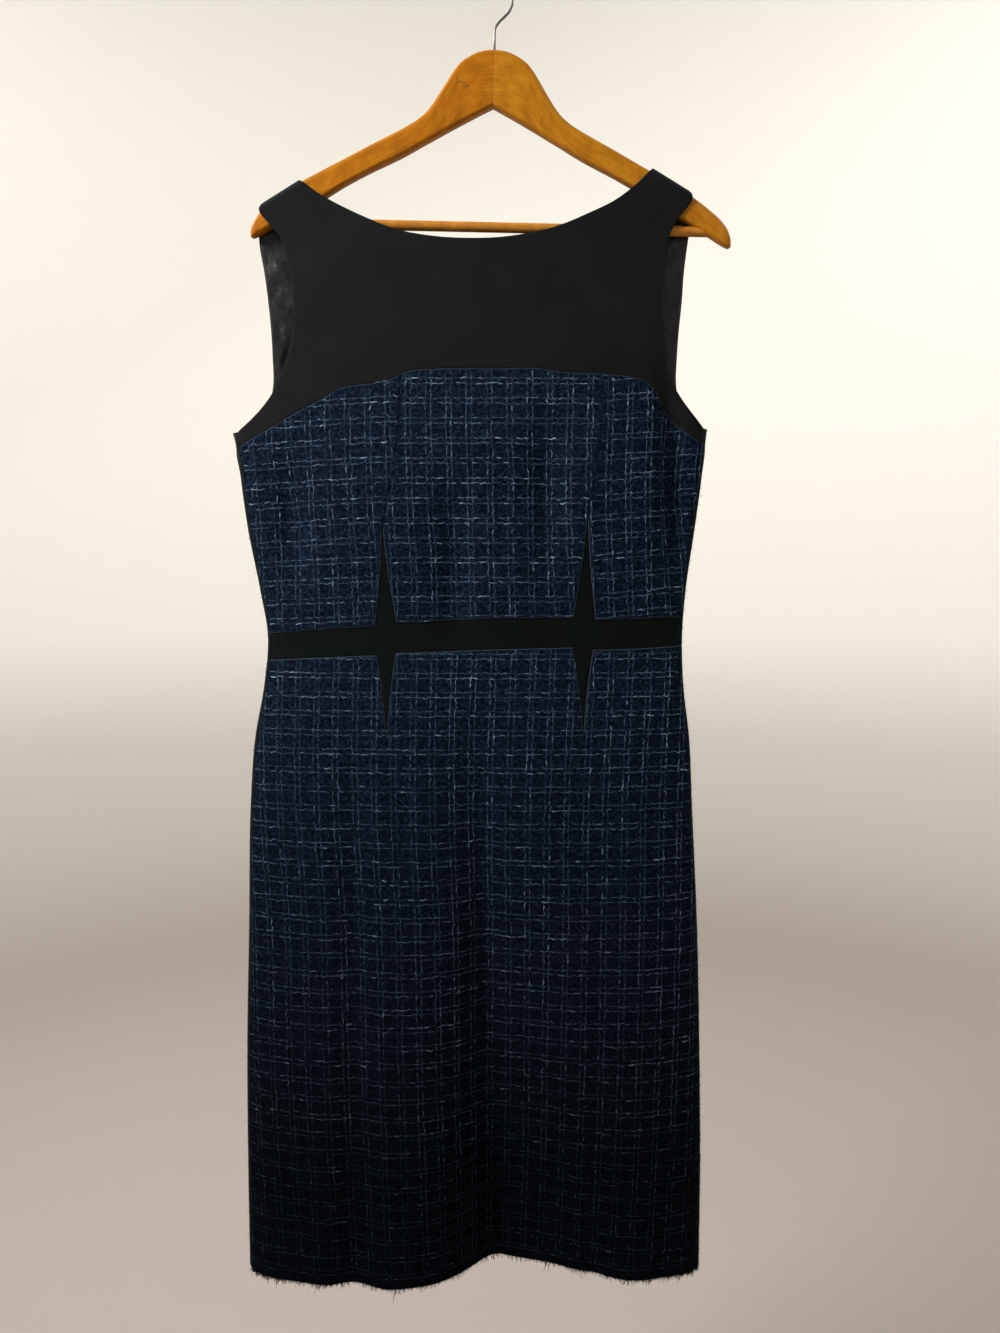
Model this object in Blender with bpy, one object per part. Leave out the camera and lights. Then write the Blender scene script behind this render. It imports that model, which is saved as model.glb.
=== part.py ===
"""A sleeveless pencil dress hanging flat on a wooden hanger, in metres.

+X is to the right as seen from the front, the front faces -Y, and +Z is up. The origin is the
inside of the hook's top, where it rests on what holds it. The dress hangs a little left of the
hanger's middle and a little lower on its left, so its left and right sides are given one by one.

A point of the cloth is named by (turn, height). The turn runs round the ring of cloth at that
height: 0 is the middle of the front, -1 and 1 are the left and right sides, -2 and 2 are the
middle of the back. Every panel is a patch of that surface, made as a wall with its seams open
by a hair.
"""

import math

import bmesh
import bpy
import numpy as np
from mathutils import Matrix, Vector

# ---------------------------------------------------------------- driving dimensions
CLOTH = 0.0018  # wall of tweed or crepe with its lining
LINING = 0.0010  # wall of the back lining, with its turned edges
SEAM_GAP = 0.0003
HEM_Z = -1.2375
ROUNDNESS = 0.8  # under 1 makes a ring fuller than an ellipse
TURN_LENGTH = 0.30  # about how much cloth one turn takes

# Each row is the ring of cloth at one height. Above the underarm the sides are the line that the
# armholes are cut from.
RING_COLUMNS = ("z", "left", "right", "front_depth", "back_depth")
RINGS = (
    (-0.150, -0.2475, 0.1985, 0.0130, 0.0130),
    (-0.230, -0.2475, 0.1985, 0.0145, 0.0135),
    (-0.300, -0.2475, 0.1985, 0.0200, 0.0155),
    (-0.360, -0.2475, 0.1985, 0.0265, 0.0180),
    (-0.405, -0.2470, 0.1980, 0.0310, 0.0200),
    (-0.437, -0.2420, 0.1948, 0.0330, 0.0210),
    (-0.493, -0.2352, 0.1882, 0.0320, 0.0210),
    (-0.550, -0.2252, 0.1810, 0.0285, 0.0195),
    (-0.595, -0.2190, 0.1785, 0.0260, 0.0185),
    (-0.637, -0.2230, 0.1802, 0.0275, 0.0190),
    (-0.696, -0.2342, 0.1875, 0.0310, 0.0210),
    (-0.755, -0.2395, 0.1910, 0.0340, 0.0230),
    (-0.877, -0.2444, 0.1985, 0.0380, 0.0250),
    (-1.001, -0.2495, 0.2035, 0.0420, 0.0265),
    (-1.130, -0.2520, 0.2070, 0.0460, 0.0280),
    (-1.238, -0.2530, 0.2078, 0.0490, 0.0290),
)

# Soft troughs in the cloth. A trough runs from x_top at z_top to x_end at z_end, with its own
# width to either side. One that grows is deepest at its lower end, the others in their middle.
FOLD_COLUMNS = ("x_top", "z_top", "x_end", "z_end", "width_left", "width_right", "depth", "grows")
FRONT_FOLDS = (
    (-0.012, -0.650, 0.010, HEM_Z, 0.042, 0.062, 0.0510, True),
    (-0.132, -0.700, -0.140, HEM_Z, 0.016, 0.018, 0.0065, True),
    (0.104, -0.990, 0.104, HEM_Z, 0.012, 0.014, 0.0030, True),
    (0.151, -0.300, 0.168, -0.570, 0.006, 0.014, 0.0070, False),
    (0.042, -0.365, 0.043, -0.520, 0.016, 0.018, 0.0032, False),
    (-0.040, -0.420, -0.042, -0.590, 0.015, 0.015, 0.0030, False),
    (-0.196, -0.400, -0.200, -0.560, 0.012, 0.014, 0.0034, False),
)
BACK_FOLDS = (
    (-0.120, -0.700, -0.118, HEM_Z, 0.026, 0.030, 0.0085, True),
    (0.085, -0.760, 0.092, HEM_Z, 0.026, 0.024, 0.0070, True),
    (-0.150, -0.380, -0.140, -0.590, 0.016, 0.018, 0.0035, False),
    (0.105, -0.390, 0.098, -0.600, 0.015, 0.016, 0.0030, False),
)

# Seams and edges on the front, as (x, z) from left to right or from the top down.
SHOULDER_LEFT = ((-0.2210, -0.2009), (-0.1800, -0.1766))
SHOULDER_RIGHT = ((0.1435, -0.1664), (0.1840, -0.1902))
NECKLINE_FRONT = (
    SHOULDER_LEFT[1], (-0.159, -0.1915), (-0.1368, -0.2035), (-0.1143, -0.2140), (-0.0917, -0.2227),
    (-0.060, -0.2288), (-0.0236, -0.2310), (0.0037, -0.2301), (0.031, -0.2262), (0.0582, -0.2192),
    (0.0853, -0.2079), (0.1079, -0.1966), (0.1258, -0.1836), SHOULDER_RIGHT[0],
)
ARMHOLE_LEFT = (
    SHOULDER_LEFT[0], (-0.2071, -0.2170), (-0.1960, -0.2307), (-0.1909, -0.2473), (-0.1873, -0.2623),
    (-0.1854, -0.2806), (-0.1851, -0.2989), (-0.1862, -0.3171), (-0.1889, -0.3309),
    (-0.1941, -0.3448), (-0.2048, -0.3681), (-0.2140, -0.3804), (-0.2269, -0.3930),
    (-0.2430, -0.4050),
)
ARMHOLE_RIGHT = (
    SHOULDER_RIGHT[1], (0.1708, -0.2067), (0.1635, -0.2161), (0.1588, -0.2270), (0.1559, -0.2410),
    (0.1537, -0.2565), (0.1529, -0.2724), (0.1527, -0.2881), (0.1535, -0.3039), (0.1549, -0.3198),
    (0.1569, -0.3405), (0.1603, -0.3565), (0.1647, -0.3630), (0.1732, -0.3757), (0.1945, -0.4010),
)
YOKE_SEAM_LEFT = (
    (-0.2375, -0.4165), (-0.2230, -0.4085), (-0.2080, -0.4013), (-0.1956, -0.3942),
    (-0.1791, -0.3854), (-0.1645, -0.3783), (-0.1531, -0.3720), (-0.1464, -0.3675),
    (-0.1334, -0.3641), (-0.1124, -0.3616), (-0.0995, -0.3594), (-0.0864, -0.3530),
)
YOKE_SEAM_MIDDLE = (
    YOKE_SEAM_LEFT[-1], (-0.0783, -0.3507), (-0.0557, -0.3490), (-0.0234, -0.3486),
    (0.0024, -0.3488), (0.0202, -0.3480), (0.0433, -0.3490), (0.0577, -0.3512), (0.0960, -0.3528),
)
YOKE_SEAM_RIGHT = (
    YOKE_SEAM_MIDDLE[-1], (0.1240, -0.3552), (0.1350, -0.3583), (0.1440, -0.3645),
    (0.1520, -0.3765), (0.1600, -0.3900), (0.1700, -0.3995), (0.1800, -0.4065), (0.1915, -0.4135),
)
YOKE_SEAM = {"left": YOKE_SEAM_LEFT, "middle": YOKE_SEAM_MIDDLE, "right": YOKE_SEAM_RIGHT}
UPPER_APEX = {"left": (-0.1045, -0.4900), "right": (0.0845, -0.4815)}
LOWER_APEX = {"left": (-0.1033, -0.6915), "right": (0.0826, -0.6860)}
PRINCESS_BEND = {"left": (-0.0915, -0.4250), "right": (0.0965, -0.4110)}
BAND_TOP = {  # the stretches of tweed above the waistband, side to point and point to point
    "left": ((-0.2165, -0.5915), (-0.1833, -0.5886), (-0.1459, -0.5858), (-0.1131, -0.5838)),
    "middle": ((-0.0930, -0.5802), (-0.0523, -0.5784), (-0.0150, -0.5766), (0.0728, -0.5757)),
    "right": ((0.0932, -0.5776), (0.1344, -0.5767), (0.1765, -0.5757)),
}
BAND_BOTTOM = {
    "left": ((-0.2165, -0.6165), (-0.1839, -0.6142), (-0.1463, -0.6123), (-0.1116, -0.6107)),
    "middle": ((-0.0945, -0.6086), (-0.0525, -0.6072), (-0.0150, -0.6056), (0.0721, -0.6034)),
    "right": ((0.0910, -0.6056), (0.1349, -0.6048), (0.1770, -0.6028)),
}
POINT_BEND = 0.0012  # how far a point's long sides curve in towards its middle
POINT_END = 0.96  # share of the way to the notch's apex where a point's blunt tip ends

# The side seams sit in front of the widest line, so that a strip of the back shows.
SIDE_SEAM_COLUMNS = ("z", "left_inset", "right_inset")
SIDE_SEAMS = (
    (-0.400, 0.0050, 0.0032),
    (-0.420, 0.0062, 0.0030),
    (-0.460, 0.0042, 0.0028),
    (-0.595, 0.0036, 0.0025),
    (-0.700, 0.0036, 0.0010),
    (-1.240, 0.0036, 0.0004),
)

# Edges of the back, which the front hides: plain, and a little less deep at the neck.
NECKLINE_BACK = (
    SHOULDER_LEFT[1], (-0.158, -0.1905), (-0.1350, -0.2020), (-0.0900, -0.2190), (-0.0245, -0.2275),
    (0.0430, -0.2190), (0.0860, -0.2040), (0.1250, -0.1815), SHOULDER_RIGHT[0],
)
BACK_ARMHOLE_LEFT = (
    SHOULDER_LEFT[0], (-0.2203, -0.2200), (-0.2195, -0.2330), (-0.2162, -0.2533),
    (-0.2136, -0.2767), (-0.2117, -0.3002), (-0.2106, -0.3317), (-0.2112, -0.3600),
    (-0.2190, -0.3860), (-0.2330, -0.4000),
)
BACK_ARMHOLE_RIGHT = (
    SHOULDER_RIGHT[1], (0.1812, -0.2070), (0.1789, -0.2225), (0.1771, -0.2361), (0.1749, -0.2569),
    (0.1737, -0.2813), (0.1717, -0.3057), (0.1704, -0.3302), (0.1705, -0.3600), (0.1770, -0.3850),
    (0.1890, -0.3970),
)
BACK_MIDDLE_X = -0.0245
UNDERARM_Z = {"left": ARMHOLE_LEFT[-1][1], "right": ARMHOLE_RIGHT[-1][1]}
WAIST_BACK = {"left": (-0.6165, -0.6080), "right": (-0.6028, -0.6080)}  # z at the side, at the middle
LINING_EASE = 0.0010  # between the crepe and the lining
LINING_REACH = 0.6  # share of the bodice's last column, so that its edge shows past the lining
LINING_TOP_ROW = 5  # the bodice's row where the lining starts, under the hanger's bar

# The hanger, in its own frame before it tilts: half of its outline, from its middle outwards.
HANGER_TILT = math.radians(1.2)  # its right end is the lower one
ARM_HALF_THICKNESS = 0.0060
ARM_ROUND = 0.0050  # round edge along the top
ARM_LOWER_ROUND = 0.0030
ARM_COLUMNS = ("x", "top", "bottom")
ARM_STATIONS = (
    (0.00015, -0.0648, -0.1134), (0.0070, -0.0652, -0.1168), (0.0140, -0.0668, -0.1204),
    (0.0225, -0.0706, -0.1248), (0.0310, -0.0765, -0.1294), (0.0375, -0.0845, -0.1329),
    (0.0430, -0.0930, -0.1359), (0.0480, -0.1008, -0.1387), (0.0540, -0.1100, -0.1420),
    (0.0605, -0.1184, -0.1455), (0.0690, -0.1259, -0.1503), (0.0790, -0.1320, -0.1559),
    (0.0950, -0.1403, -0.1638), (0.1110, -0.1485, -0.1714), (0.1350, -0.1610, -0.1842),
    (0.1550, -0.1714, -0.1965), (0.1730, -0.1810, -0.2066), (0.1900, -0.1915, -0.2159),
    (0.2010, -0.1994, -0.2219), (0.2100, -0.2066, -0.2272), (0.2160, -0.2133, -0.2303),
    (0.2195, -0.2200, -0.2316), (0.2212, -0.2258, -0.2306),
)
BAR_RADIUS = 0.0045
BAR_Z = -0.2176
BAR_HALF_LENGTH = 0.2060
BAR_HOLE_START = 0.1500
FIT_GAP = 0.0003  # round the bar's ends and the hook's shank
WIRE_RADIUS = 0.0011
HOOK_INSIDE_RADIUS = 0.0148
HOOK_SWEEP = math.radians(205)  # from its rightmost point, over the top
HOOK_STEP = math.radians(12)
HOOK_SHANK = ((0.0, -0.0820), (0.0, -0.0500), (0.0006, -0.0453), (0.0034, -0.0407),
              (0.0082, -0.0359), (0.0128, -0.0309), (0.0152, -0.0257))
SHANK_HOLE_END = -0.0830
SHANK_HOLE_TOP = -0.0500

# The top of the invisible zip, at the middle of the back.
SLIDER_Z = -0.2385
SLIDER_SIZE = Vector((0.0046, 0.0020, 0.0085))
SLIDER_BEVEL = 0.0005
BRIDGE_RADIUS = 0.0005  # the little bar that the pull hangs on
BRIDGE_RISE = 0.0020  # its axis, out from the slider's face
BRIDGE_Z = SLIDER_Z + 0.0008
POST_SIZE = (0.0008, BRIDGE_RISE + 0.0014, 0.0016)  # the two posts that carry the bridge
POST_SINK = 0.0001
PULL_EYE_RADIUS = 0.0014
PULL_EYE_HALF_WIDTH = 0.0010
PULL_HOLE_RADIUS = 0.0009
PULL_HOLE_HALF_LENGTH = 0.0030
PULL_NECK_Z = -0.0024
PULL_NECK_SIZE = (0.0015, 0.0009, 0.0032)
PULL_HALF_WIDTH = 0.0028
PULL_LENGTH = 0.0190
PULL_HALF_THICKNESS = 0.0006
PULL_MIDDLE = 0.56  # share of its length from the eye to the middle of the drop
PULL_NARROWING = 0.38  # width at the drop's top, as a share of the widest
PULL_SIDES = 24

# How many cells each stretch of a panel takes. Panels that share a seam share its cells.
COLS_SIDE, COLS_MIDDLE, COLS_POINT = 11, 10, 2
ROWS_YOKE, ROWS_PRINCESS, ROWS_SKIRT = 9, 5, 14
ROWS_UPPER_POINT, ROWS_BAND, ROWS_LOWER_POINT = 6, 2, 5
BACK_COLS_NECK, BACK_COLS_SKIRT = 7, 14
ROWS_BACK_ARMHOLE, ROWS_BACK_UNDERARM, ROWS_BACK_SIDE, ROWS_BACK_SKIRT = 6, 3, 8, 17
STRAP_COLS = 3
STRAP_STEPS = (0.0005, 0.0020, 0.0045, 0.0085)  # along an edge as it comes down off the arm
RELAX_SWEEPS = 600
CORNER_REACH = 0.020  # over which the rows turn round the corner of strap and neckline
CAP_RADIUS = ARM_ROUND + 2 * FIT_GAP + CLOTH
CAP_FLAT = ARM_HALF_THICKNESS - ARM_ROUND
CAP_START = 0.1 * SEAM_GAP  # over which the flat top opens beside the shoulder seam
HANG_START = 0.0040  # down from the shoulder seam, where the cloth starts to leave the arm
HANG_LENGTH = 0.0750
SIDE_FADE = 0.35  # how near the sides the folds fade out, as a cosine of the turn
FOLD_TOP_SPREAD = 0.55  # a growing fold's width at its top, as a share of that at its end
FOLD_GROWTH = 1.25
FINISH_ANGLE_CLOTH = 50  # degrees, past which an edge is left sharp
FINISH_ANGLE_WOOD = 40

MATERIALS = {  # colour, roughness, metallic
    "crepe": ((0.010, 0.011, 0.012), 0.85, 0.0),
    "tweed": ((0.006, 0.010, 0.026), 0.95, 0.0),
    "satin": ((0.004, 0.004, 0.005), 0.35, 0.0),
    "varnished_wood": ((0.36, 0.14, 0.025), 0.35, 0.0),
    "steel": ((0.16, 0.15, 0.14), 0.35, 1.0),
}


# ---------------------------------------------------------------- the cloth's surface
def column(rows, names, name):
    return np.array([row[names.index(name)] for row in rows], float)


def smooth_step(t):
    t = np.clip(t, 0.0, 1.0)
    return t * t * (3 - 2 * t)


def spline(knots, values, at):
    """A cubic through the values, with the slope at each knot taken from its neighbours."""
    slopes = np.gradient(values, knots)
    i = np.clip(np.searchsorted(knots, at) - 1, 0, len(knots) - 2)
    step = knots[i + 1] - knots[i]
    t = np.clip((at - knots[i]) / step, 0.0, 1.0)
    return (
        values[i] * (1 + 2 * t) * (1 - t) ** 2
        + slopes[i] * step * t * (1 - t) ** 2
        + values[i + 1] * t * t * (3 - 2 * t)
        + slopes[i + 1] * step * t * t * (t - 1)
    )


def ring(z, name):
    knots = column(RINGS, RING_COLUMNS, "z")[::-1]
    return spline(knots, column(RINGS, RING_COLUMNS, name)[::-1], np.asarray(z, float))


def ring_middle(z):
    return (ring(z, "left") + ring(z, "right")) / 2


def ring_half_width(z):
    return (ring(z, "right") - ring(z, "left")) / 2


def shoulder_line(x):
    """(height of the shoulder seam over x, cosine of its slope)."""
    on_left = x < BACK_MIDDLE_X
    slopes = [(b[1] - a[1]) / (b[0] - a[0]) for a, b in (SHOULDER_LEFT, SHOULDER_RIGHT)]
    slope = np.where(on_left, slopes[0], slopes[1])
    start_x = np.where(on_left, SHOULDER_LEFT[1][0], SHOULDER_RIGHT[0][0])
    start_z = np.where(on_left, SHOULDER_LEFT[1][1], SHOULDER_RIGHT[0][1])
    return start_z + slope * (x - start_x), 1 / np.sqrt(1 + slope**2)


def fold_depth(folds, x, z):
    total = np.zeros(np.broadcast(x, z).shape)
    for row in folds:
        fold = dict(zip(FOLD_COLUMNS, row))
        t = np.clip((z - fold["z_top"]) / (fold["z_end"] - fold["z_top"]), 0, 1)
        middle = fold["x_top"] + (fold["x_end"] - fold["x_top"]) * t
        away = x - middle
        width = np.where(away < 0, fold["width_left"], fold["width_right"])
        if fold["grows"]:
            width = width * (FOLD_TOP_SPREAD + (1 - FOLD_TOP_SPREAD) * t)
            along = t**FOLD_GROWTH
        else:
            along = np.sin(math.pi * t) ** 2
        total += fold["depth"] * along * np.exp(-0.5 * (away / width) ** 2)
    return total


def cloth_point(turn, z):
    """The cloth's outer face at (turn, z), as an array of x, y, z."""
    turn, z = np.broadcast_arrays(np.asarray(turn, float), np.asarray(z, float))
    x = ring_middle(z) + ring_half_width(z) * np.sin(turn * math.pi / 2)
    facing = np.cos(turn * math.pi / 2)
    fullness = np.abs(facing) ** ROUNDNESS
    fade = np.clip(np.abs(facing) / SIDE_FADE, 0, 1)
    front = ring(z, "front_depth") * fullness - fold_depth(FRONT_FOLDS, x, z) * fade
    back = ring(z, "back_depth") * fullness - fold_depth(BACK_FOLDS, x, z) * fade
    out = np.where(facing >= 0, front, back)
    top, cosine = shoulder_line(x)
    below = np.maximum((top - z) * cosine, 0.0)  # down the cloth from the shoulder seam
    turned = np.minimum(below, CAP_RADIUS)
    cap = np.sqrt(CAP_RADIUS**2 - (CAP_RADIUS - turned) ** 2)
    cap = cap + CAP_FLAT * np.clip(below / CAP_START, 0, 1)
    out = cap + (out - CAP_RADIUS - CAP_FLAT) * smooth_step((below - HANG_START) / HANG_LENGTH)
    return np.stack([x, np.where(facing >= 0, -out, out), z], axis=-1)


def turn_at(x, z, behind=False):
    """The turn of the cloth at x, on the front or behind."""
    share = np.clip((np.asarray(x) - ring_middle(z)) / ring_half_width(z), -1, 1)
    turn = np.arcsin(share) * 2 / math.pi
    return np.where(turn < 0, -2 - turn, 2 - turn) if behind else turn


def cloth_normal(turn, z):
    step_turn, step_z = 1e-4, 2e-5
    across = cloth_point(turn + step_turn, z) - cloth_point(turn - step_turn, z)
    down = cloth_point(turn, z - step_z) - cloth_point(turn, z + step_z)
    normal = np.cross(down, across)
    return normal / np.linalg.norm(normal, axis=-1, keepdims=True)


# ---------------------------------------------------------------- edges and patches of it
def even(count):
    return np.linspace(0, 1, count + 1)


def distances(points):
    """How far along its line each point is."""
    return np.concatenate([[0], np.cumsum(np.hypot(*np.diff(points, axis=0).T))])


def rounded(points, steps=8):
    """More points along the same line, on a cubic that bends evenly through all of them."""
    points = np.array(points, float)
    lengths = distances(points)
    pieces = [np.linspace(a, b, steps, endpoint=False) for a, b in zip(lengths, lengths[1:])]
    at = np.append(np.concatenate(pieces), lengths[-1])
    return np.stack([spline(lengths, points[:, i], at) for i in (0, 1)], axis=1)


def sample(points, shares):
    """Points at these shares of the line's length."""
    points = rounded(points) if len(points) > 2 else np.array(points, float)
    lengths = distances(points)
    at = np.asarray(shares) * lengths[-1]
    return np.stack([np.interp(at, lengths, points[:, i]) for i in (0, 1)], axis=1)


def length_of(points):
    return distances(rounded(points))[-1]


def joined(*pieces):
    return np.concatenate([pieces[0]] + [piece[1:] for piece in pieces[1:]])


def to_turn(points, behind=False):
    points = np.asarray(points)
    return np.stack([turn_at(points[:, 0], points[:, 1], behind), points[:, 1]], axis=1)


def side_seam(side, z):
    """(turn, z) of the side seam at these heights, on the front half of the ring."""
    z = np.asarray(z, float)
    knots = column(SIDE_SEAMS, SIDE_SEAM_COLUMNS, "z")[::-1]
    inset = np.interp(z, knots, column(SIDE_SEAMS, SIDE_SEAM_COLUMNS, f"{side}_inset")[::-1])
    if side == "left":
        return np.stack([turn_at(ring(z, "left") + inset, z), z], axis=1)
    return np.stack([turn_at(ring(z, "right") - inset, z), z], axis=1)


def shares_along(line):
    """How far along a (turn, z) line each of its points is, from 0 to 1."""
    lengths = distances(line * (TURN_LENGTH, 1))
    return lengths / lengths[-1]


def patch(top, bottom, left, right):
    """A grid of (turn, z) between four edges. Top and bottom run left to right, the sides down."""
    rough_t = (shares_along(left) + shares_along(right))[:, None] / 2
    s = (1 - rough_t) * shares_along(top) + rough_t * shares_along(bottom)
    t = (1 - s) * shares_along(left)[:, None] + s * shares_along(right)[:, None]
    s, t = s[..., None], t[..., None]
    across = (1 - t) * top[None] + t * bottom[None]
    left_bend = left[:, None] - (1 - t) * top[0] - t * bottom[0]
    right_bend = right[:, None] - (1 - t) * top[-1] - t * bottom[-1]
    return across + (1 - s) * left_bend + s * right_bend


def relaxed(grid):
    """The grid with its inner points moved until its lines spread evenly and no cell folds over."""
    points = grid * (TURN_LENGTH, 1)
    for _ in range(RELAX_SWEEPS):
        left, right = points[1:-1, :-2], points[1:-1, 2:]
        above, below = points[:-2, 1:-1], points[2:, 1:-1]
        across, down = (right - left) / 2, (below - above) / 2
        skew = (across * down).sum(-1, keepdims=True)
        wide, tall = ((way**2).sum(-1, keepdims=True) for way in (across, down))
        twist = (points[2:, 2:] - points[2:, :-2] - points[:-2, 2:] + points[:-2, :-2]) / 4
        moved = (tall * (left + right) + wide * (above + below) - 2 * skew * twist) / (2 * (tall + wide))
        points[1:-1, 1:-1] = moved
    return points / (TURN_LENGTH, 1)


def patch_with_border(top, bottom, left, right, behind=False):
    """A patch whose first rows keep close to its top edge, given as (x, z), to bend over the arm."""
    lengths = distances(top)
    ahead, before = (
        np.stack([np.interp(lengths + reach, lengths, top[:, i]) for i in (0, 1)], axis=1)
        for reach in (CORNER_REACH, -CORNER_REACH)
    )
    along = before - ahead if behind else ahead - before
    inward = np.stack([along[:, 1], -along[:, 0]], axis=1)
    inward /= np.linalg.norm(inward, axis=1, keepdims=True)
    rows = []
    for i, step in enumerate((0.0, *STRAP_STEPS)):
        line = to_turn(top + inward * step, behind)
        line[0], line[-1] = left[i], right[i]
        rows.append(line)
    last = len(STRAP_STEPS)
    rest = relaxed(patch(rows[-1], bottom, left[last:], right[last:]))
    return np.concatenate([np.stack(rows[:-1]), rest])


def strap_shares(edge):
    return np.array(STRAP_STEPS) / length_of(edge)


# ---------------------------------------------------------------- meshes
def add_object(name, mesh, material):
    obj = bpy.data.objects.new(name, mesh)
    bpy.context.scene.collection.objects.link(obj)
    mesh.materials.append(material_for(name, material))
    return obj


def material_for(name, kind):
    colour, roughness, metallic = MATERIALS[kind]
    material = bpy.data.materials.new(f"{name}_{kind}")
    material.use_nodes = True
    shader = material.node_tree.nodes["Principled BSDF"]
    shader.inputs["Base Color"].default_value = (*colour, 1)
    shader.inputs["Roughness"].default_value = roughness
    shader.inputs["Metallic"].default_value = metallic
    material.diffuse_color = (*colour, 1)
    return material


def smooth(mesh, degrees):
    mesh.shade_smooth()
    mesh.set_sharp_from_angle(angle=math.radians(degrees))


def panel(name, patches, material, wall=CLOTH, sunk=0.0):
    """A wall of cloth over the patches, its outer face on the surface or sunk under it."""
    index, spots, cells = {}, [], []
    for grid in patches:
        ids = np.empty(grid.shape[:2], int)
        for row, col in np.ndindex(*ids.shape):
            key = tuple(np.round(grid[row, col], 6))
            if key not in index:
                index[key] = len(spots)
                spots.append(grid[row, col])
            ids[row, col] = index[key]
        for row, col in np.ndindex(ids.shape[0] - 1, ids.shape[1] - 1):
            cells.append((ids[row, col], ids[row + 1, col], ids[row + 1, col + 1], ids[row, col + 1]))
    spots = np.array(spots)
    normals = cloth_normal(spots[:, 0], spots[:, 1])
    outer = cloth_point(spots[:, 0], spots[:, 1])
    faces = [face for cell in cells for face in split(cell, outer)]
    outer = outer - normals * sunk
    outer = outer + edge_moves(outer, normals, faces) * SEAM_GAP / 2
    inner = outer - normals * wall
    count = len(outer)
    rim = [(b, a, a + count, b + count) for a, b in open_edges(faces)]
    back = [tuple(i + count for i in reversed(face)) for face in faces]
    mesh = bpy.data.meshes.new(name)
    mesh.from_pydata(np.concatenate([outer, inner]).tolist(), [], faces + back + rim)
    smooth(mesh, FINISH_ANGLE_CLOTH)
    add_object(name, mesh, material)


def split(cell, points):
    """A four-sided cell as two triangles, cut along its shorter diagonal."""
    a, b, c, d = cell
    if np.linalg.norm(points[a] - points[c]) < np.linalg.norm(points[b] - points[d]):
        return (a, b, c), (a, c, d)
    return (a, b, d), (b, c, d)


def open_edges(faces):
    found = {(a, b) for face in faces for a, b in zip(face, face[1:] + face[:1])}
    return [(a, b) for a, b in found if (b, a) not in found]


def edge_moves(points, normals, faces):
    """For each point on an open edge, the way into the cloth, so that it draws back from a seam."""
    moves = np.zeros_like(points)
    for a, b in sorted(open_edges(faces)):
        along = points[b] - points[a]
        inward = np.cross(normals[a] + normals[b], along)
        inward /= np.linalg.norm(inward)
        for end in (a, b):
            known = np.linalg.norm(moves[end]) > 0
            moves[end] = moves[end] + inward if known else inward
    lengths = np.linalg.norm(moves, axis=1)
    # Two edges that meet at an angle each ask for a whole step, so the sum is made longer.
    scale = np.where(lengths > 0, 2 / np.maximum(lengths, 0.7) ** 2, 0)
    return moves * np.where(lengths > 1.01, scale, 1)[:, None]


# ---------------------------------------------------------------- the front
def seam_parts(parts):
    return {side: to_turn(sample(line, even(COLS_MIDDLE if side == "middle" else COLS_SIDE)))
            for side, line in parts.items()}


def side_end(side, line):
    """The line with its outer end brought onto the side seam."""
    end = 0 if side == "left" else -1
    line = line.copy()
    line[end] = side_seam(side, line[end, 1:2])[0]
    return line


def front_seams(parts):
    lines = seam_parts(parts)
    return {side: side_end(side, line) if side != "middle" else line for side, line in lines.items()}


def point_edge(base, apex, count, toward):
    """A long side of a waistband point, from its base to the notch's apex, curving in a little."""
    base, apex = np.array(base), np.array(apex)
    shares = np.append(even(count) * POINT_END, 1.0)[:, None]
    line = base + (apex - base) * shares
    line[:, 0] += toward * POINT_BEND * np.sin(math.pi * shares[:, 0])
    return to_turn(line)


def point_edges(side, up):
    """(left edge, right edge) of a point, each from its base to its tip."""
    band = BAND_TOP if up else BAND_BOTTOM
    apex = (UPPER_APEX if up else LOWER_APEX)[side]
    count = ROWS_UPPER_POINT if up else ROWS_LOWER_POINT
    if side == "left":
        bases = band["left"][-1], band["middle"][0]
    else:
        bases = band["middle"][-1], band["right"][0]
    return point_edge(bases[0], apex, count, 1), point_edge(bases[1], apex, count, -1)


def princess_seam(side, point_side):
    """The bodice seam from the yoke to the point's tip, then down one edge of that point."""
    top = YOKE_SEAM_MIDDLE[0] if side == "left" else YOKE_SEAM_MIDDLE[-1]
    line = (top, PRINCESS_BEND[side], UPPER_APEX[side])
    return joined(to_turn(sample(line, even(ROWS_PRINCESS))), point_edges(side, True)[point_side][::-1])


def make_front_yoke(seam):
    neck = np.concatenate([strap_shares(NECKLINE_FRONT), 1 - strap_shares(NECKLINE_FRONT)[::-1]])
    columns = 2 * COLS_SIDE + COLS_MIDDLE - 2 * STRAP_COLS - 2 * len(STRAP_STEPS)
    middle = np.linspace(neck[3], neck[4], columns + 1)[1:-1]
    neck = np.concatenate([[0], neck[:4], middle, neck[4:], [1]])
    top = joined(
        sample(SHOULDER_LEFT, even(STRAP_COLS)),
        sample(NECKLINE_FRONT, neck),
        sample(SHOULDER_RIGHT, even(STRAP_COLS)),
    )
    sides = []
    for side, edge in (("left", ARMHOLE_LEFT), ("right", ARMHOLE_RIGHT)):
        end = seam[side][0 if side == "left" else -1]
        steps = strap_shares(edge)
        rest = np.linspace(steps[-1], 1, ROWS_YOKE + 1)[1:]
        line = to_turn(sample(edge, np.concatenate([[0], steps, rest])))
        line[-1] = side_seam(side, line[-1:, 1])[0]
        sides.append(np.concatenate([line, end[None]]))
    bottom = joined(seam["left"], seam["middle"], seam["right"])
    panel("front_yoke", [patch_with_border(top, bottom, *sides)], "crepe")


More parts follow.
